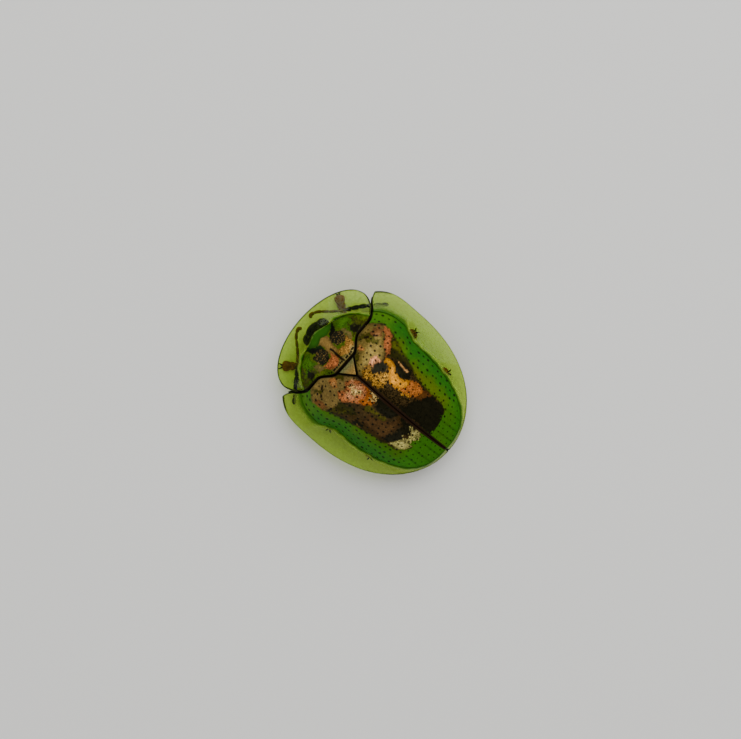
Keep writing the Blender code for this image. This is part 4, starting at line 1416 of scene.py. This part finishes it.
def pad_lobe(centre, turn, length, width, height):
    """A foot lobe: flat sole, low round back, and a notch at its front whose bottom is the pole."""
    along = np.linspace(-1, 1, 25)[:, None]
    round_ = np.linspace(0, math.tau, 33)[None, :]
    ring = round_off(along, 2.6)
    beside = (1 - np.exp(-((np.cos(round_) / 0.35) ** 2))) * np.clip(2.5 * ring, 0, 1)
    notch = 0.32 * length * smooth((along - 0.2) / 0.8) * (1 - beside)
    x = along * length * np.ones_like(round_) - notch
    y = ring * np.cos(round_) * width * (1 + 0.25 * along)
    z = np.maximum(ring * np.sin(round_) * height + centre[2], 0.0) - centre[2]
    c, s = math.cos(turn), math.sin(turn)
    return np.stack([x * c - y * s, x * s + y * c, z], -1) + centre


def claw(toe, ahead, across):
    """A hooked claw that bends forward, to the side of across and down, and ends in a point."""
    t = np.linspace(0, 1, 20)[:, None]
    bend = t * math.pi / 2
    start = toe + across * 0.05 - ahead * 0.05 + TIP_RISE
    hook = start + ahead * CLAW_REACH * np.sin(bend) + across * CLAW_SPREAD * t
    hook = hook - np.array((0, 0, CLAW_DROP)) * (1 - np.cos(bend))
    t = t[:, 0]
    return ring_tube(hook, CLAW_RADIUS * (1 - t) ** 0.8 * np.sqrt(np.clip(t / 0.1, 0, 1)), 12)


def make_leg(which, route):
    """Coxa, femur, tibia, three padded foot joints, a claw joint and two hooked claws."""
    side = 1 if which.endswith("left") else -1
    hip, knee, ankle, toe = route
    places = ((*hip, COXA_Z), knee, ankle, (*toe, TOE_Z))
    coxa, knee, ankle, toe = (mirrored(place, side) for place in places)
    ahead = toe - ankle
    ahead[2] = 0
    reach = np.linalg.norm(ahead)
    ahead = ahead / reach
    across = np.array((-ahead[1], ahead[0], 0))
    grids = [
        ellipsoid(coxa, COXA_SIZES),
        limb(coxa, knee, FEMUR_RADII),
        ellipsoid(knee, KNEE_SIZES),
        limb(knee, ankle, TIBIA_RADII, 0.8),
    ]
    for length, width, share in PADS:
        centre = np.array((ankle[0], ankle[1], PAD_Z)) + ahead * reach * (0.1 + share)
        turn = math.atan2(ahead[1], ahead[0])
        grids.append(pad_lobe(centre, turn, length, width, PAD_HEIGHT))
    root = toe - ahead * CLAW_JOINT_LENGTH
    grids.append(limb(root, toe + TIP_RISE, CLAW_JOINT_RADII, 0.9))
    claws = [claw(toe, ahead, -across), claw(toe, ahead, across)]
    tints = one_tint(grids, LEG_BROWN)
    tints[1] = tints[1] + 0.4 * (HORN - LEG_BROWN)
    tints += one_tint(claws, BLACK)
    add_piece("leg_shape_" + which, "leg_" + which, HORNY, grids + claws, tints)


# Trunk under the back

TRUNK_WALL = 0.35
TRUNK_RINGS = 140
TRUNK_SIDES = 96
ROOF_REACH = 0.45
GROOVE_DEPTH = 0.05
DARK_ABOVE_Z = 1.6
FLANK_RISE = 0.45
LEDGE_FLATNESS = 0.6
LEDGE_GAP = 0.02
LEDGE_REACH = 0.28
LEDGE_BELOW = 0.40
BASE_LEDGE_REACH = 4.2
BASE_LEDGE_HALF_WIDTH = 0.24
SUTURE_LEDGE_HALF_WIDTH = 0.14
BEAD_RADIUS = 0.04
BASE_LEDGE_RINGS = 181
SUTURE_LEDGE_RINGS = 120
BEAD_RINGS = 60


def lowest_near(x, y, reach):
    """Lowest of the back at eight points that lie at a distance all round each point."""
    turns = [math.tau * step / 8 for step in range(8)]
    near = [back_top(x + reach * math.cos(t), y + reach * math.sin(t)) for t in turns]
    return np.minimum.reduce(near)


def under_back(x, y):
    """Height a little under the back: the lowest of its top at nearby points, less the wall."""
    nearby = lowest_near(x, y, ROOF_REACH) - 0.6 * TRUNK_WALL
    return np.minimum(back_top(x, y) - TRUNK_WALL, nearby)


def trunk_part(y_from, y_to, half_width, plates):
    """Rings along y: a belly with plate grooves, and a top that fills the space under the back.

    Round the ring, x = w cos t. Above the flank z rises with sin(t)^0.5 to the roof, and below
    it falls with |sin t|^0.6 to the belly. A groove is cos^16 of the plate count along y.
    """
    along = np.linspace(0, 1, TRUNK_RINGS)[:, None]
    turn = np.linspace(0, math.tau, TRUNK_SIDES + 1)[None, :]
    y = y_from + (y_to - y_from) * along * np.ones_like(turn)
    x = half_width(y) * (0.90 + 0.10 * round_off(2 * along - 1, 10)) * np.cos(turn)
    flank = BELLY_Z + FLANK_RISE
    lift = np.sin(turn) * np.ones_like(y)
    roof = flank + (under_back(x, y) - flank) * np.clip(lift, 0, 1) ** 0.5
    groove = GROOVE_DEPTH * np.clip(np.cos(math.tau * plates * along), 0, 1) ** 16
    groove = groove * (along > 0.02) * (along < 0.98)
    belly = flank - (FLANK_RISE - groove) * np.clip(-lift, 0, 1) ** 0.6
    body = np.stack([x, y, np.where(lift > 0, roof, belly)], -1)
    middle = np.broadcast_to(body.mean(1, keepdims=True), body.shape)
    return np.concatenate([middle[:1], body, middle[-1:]], 0)


def abdomen_width(y):
    """Half width of the abdomen, narrowing to its round end."""
    low, high = node_box("abdomen")
    along = np.clip((y - low[1]) / (high[1] - low[1]), 0, 1)
    return high[0] * round_off(0.93 * along, 2.4)


def make_trunk():
    """Prothorax, thorax and abdomen, dark on top and honey brown below."""
    for node, plates in (("prothorax", 1), ("thorax", 2), ("abdomen", 5)):
        low, high = node_box(node)
        width = abdomen_width if node == "abdomen" else lambda y, w=high[0]: np.full(y.shape, w)
        body = trunk_part(low[1], high[1], width, plates)
        tint = blend(HORN, BLACK, smooth((body[..., 2] - DARK_ABOVE_Z) / 0.4))
        tint = blend(tint, DARK_BROWN, 0.7 * np.exp(-((body[..., 0] / 1.4) ** 2)))
        add_piece(node + "_body", node, BELLY, [body], [tint], (True,))


def ledge_tube(path, half_width, flatness):
    """A flat tube along a path, square at its ends but closed there."""
    ends = round_off(np.linspace(-1, 1, len(path)), 30)
    return ring_tube(path, half_width * ends, 16, flatness)


def thick_ledge(x, y, half_width):
    """A ledge just under the wing cases' wall: their top, less the wall and half the ledge."""
    below = DISC_WALL + LEDGE_FLATNESS * half_width + LEDGE_GAP
    path = raised(wing_top, x, y) - normals_of(wing_top, x, y) * below[:, None]
    return ledge_tube(path, half_width, LEDGE_FLATNESS)


def thin_ledge(x, y, half_width):
    """A flatter one on the line itself, lower: the lowest of the back nearby, less a wall."""
    lowest = np.minimum(back_top(x, y), lowest_near(x, y, LEDGE_REACH))
    path = np.stack([x, y, lowest - LEDGE_BELOW], -1)
    return ledge_tube(path, half_width, LEDGE_FLATNESS / 3)


def make_ledges():
    """Black ledges that hide the seams: behind and under the base line, and under the suture.

    A fine bead closes the suture's rear end, halfway through the wall.
    """
    across = np.linspace(-BASE_LEDGE_REACH, BASE_LEDGE_REACH, BASE_LEDGE_RINGS)
    width = BASE_LEDGE_HALF_WIDTH * (1 - 0.6 * smooth((np.abs(across) - 2.9) / 0.5))
    behind = thick_ledge(across, base_y(across) + width - BASE_GAP / 2, width)
    below = thin_ledge(across, base_y(across), width)
    y = np.linspace(SCUTELLUM_TIP_Y, DISC_REAR_Y + 0.05, SUTURE_LEDGE_RINGS)
    suture = thick_ledge(0 * y, y, np.full_like(y, SUTURE_LEDGE_HALF_WIDTH))
    y = np.linspace(DISC_REAR_Y - 0.35, REAR_Y - 0.005, BEAD_RINGS)
    middle = raised(wing_top, 0 * y, y) - normals_of(wing_top, 0 * y, y) * RIM_WALL / 2
    bead = ledge_tube(middle, np.full_like(y, BEAD_RADIUS), LEDGE_FLATNESS)
    for name, node, tubes in (
        ("base_ledge", "prothorax", [behind, below]),
        ("suture_ledge", "abdomen", [suture, bead]),
    ):
        none = [np.zeros(tube.shape[:2]) for tube in tubes]
        values = {"metal": none, "glitter": none, "dull": [zero + 1 for zero in none]}
        add_piece(name, node, METAL, tubes, one_tint(tubes, BLACK), **values)


for word, side in SIDES:
    make_wing_disc(word, side)
    make_wing_rim(word, side)
    make_feeler(word, side)
for which, route in LEG_ROUTES.items():
    make_leg(which, route)
make_shield_disc()
make_hood()
make_scutellum()
make_head()
make_trunk()
make_ledges()

# Floor, light and camera

FLOOR_SIZE = 3000
PHOTO_SCALE = 15.3
PHOTO_CENTRE_OFFSET = (-4.4, 15.1)
PHOTO_WIDTH = 741
AXIS_BELOW_LEVEL = 41.6
LEAN = 4.8
CAMERA_DISTANCE = 160
SENSOR_WIDTH = 36
RIM_LEVEL = 1.25


def make_floor():
    """A plain pale floor."""
    half = FLOOR_SIZE / 2 * MM
    mesh = bpy.data.meshes.new("floor")
    corners = [(-half, -half, 0), (half, -half, 0), (half, half, 0), (-half, half, 0)]
    mesh.from_pydata(corners, [], [(0, 1, 2, 3)])
    finish, _, _ = new_finish("pale_floor", Base_Color=(0.72, 0.72, 0.70, 1), Roughness=0.7)
    mesh.materials.append(finish)
    new_object("floor", mesh)


def add_softbox(name, place, size, power):
    """A square area light that points at the beetle."""
    lamp = bpy.data.lights.new(name, "AREA")
    lamp.size = size * MM
    lamp.energy = power
    box = new_object(name, lamp)
    box.location = Vector(place) * MM
    box.rotation_euler = (-Vector(place)).to_track_quat("-Z", "Y").to_euler()


def make_light():
    """An even pale sky, one broad softbox high on the beetle's right, and a weaker one opposite."""
    world = bpy.data.worlds.new("soft_sky")
    world.use_nodes = True
    sky = world.node_tree.nodes["Background"]
    sky.inputs["Color"].default_value = (1, 0.99, 0.96, 1)
    sky.inputs["Strength"].default_value = 0.5
    bpy.context.scene.world = world
    add_softbox("key", (-150, -60, 190), 260, 0.75)
    add_softbox("fill", (170, 100, 150), 260, 0.22)


def make_camera():
    """Nearly overhead, leaning to the beetle's right, and turned so that the head is up and left.

    right and up are the photo's directions on the floor. The frame's centre lies at the offset
    from the body's middle that the photo shows, in its pixels.
    """
    data = bpy.data.cameras.new("camera")
    data.sensor_width = SENSOR_WIDTH
    data.lens = SENSOR_WIDTH * CAMERA_DISTANCE / (PHOTO_WIDTH / PHOTO_SCALE)
    data.clip_start, data.clip_end = 0.01, 5
    turn = math.radians(AXIS_BELOW_LEVEL)
    right = Vector((-math.sin(turn), math.cos(turn), 0))
    up = Vector((-math.cos(turn), -math.sin(turn), 0))
    back = Vector((-math.sin(math.radians(LEAN)), 0, math.cos(math.radians(LEAN))))
    middle = (right * PHOTO_CENTRE_OFFSET[0] + up * PHOTO_CENTRE_OFFSET[1]) / PHOTO_SCALE
    middle.z = RIM_LEVEL
    across = (right - back * right.dot(back)).normalized()
    turned = Matrix((across, back.cross(across), back)).transposed().to_4x4()
    camera = new_object("camera", data)
    camera.matrix_world = Matrix.Translation((middle + back * CAMERA_DISTANCE) * MM) @ turned
    bpy.context.scene.camera = camera


make_floor()
make_light()
make_camera()
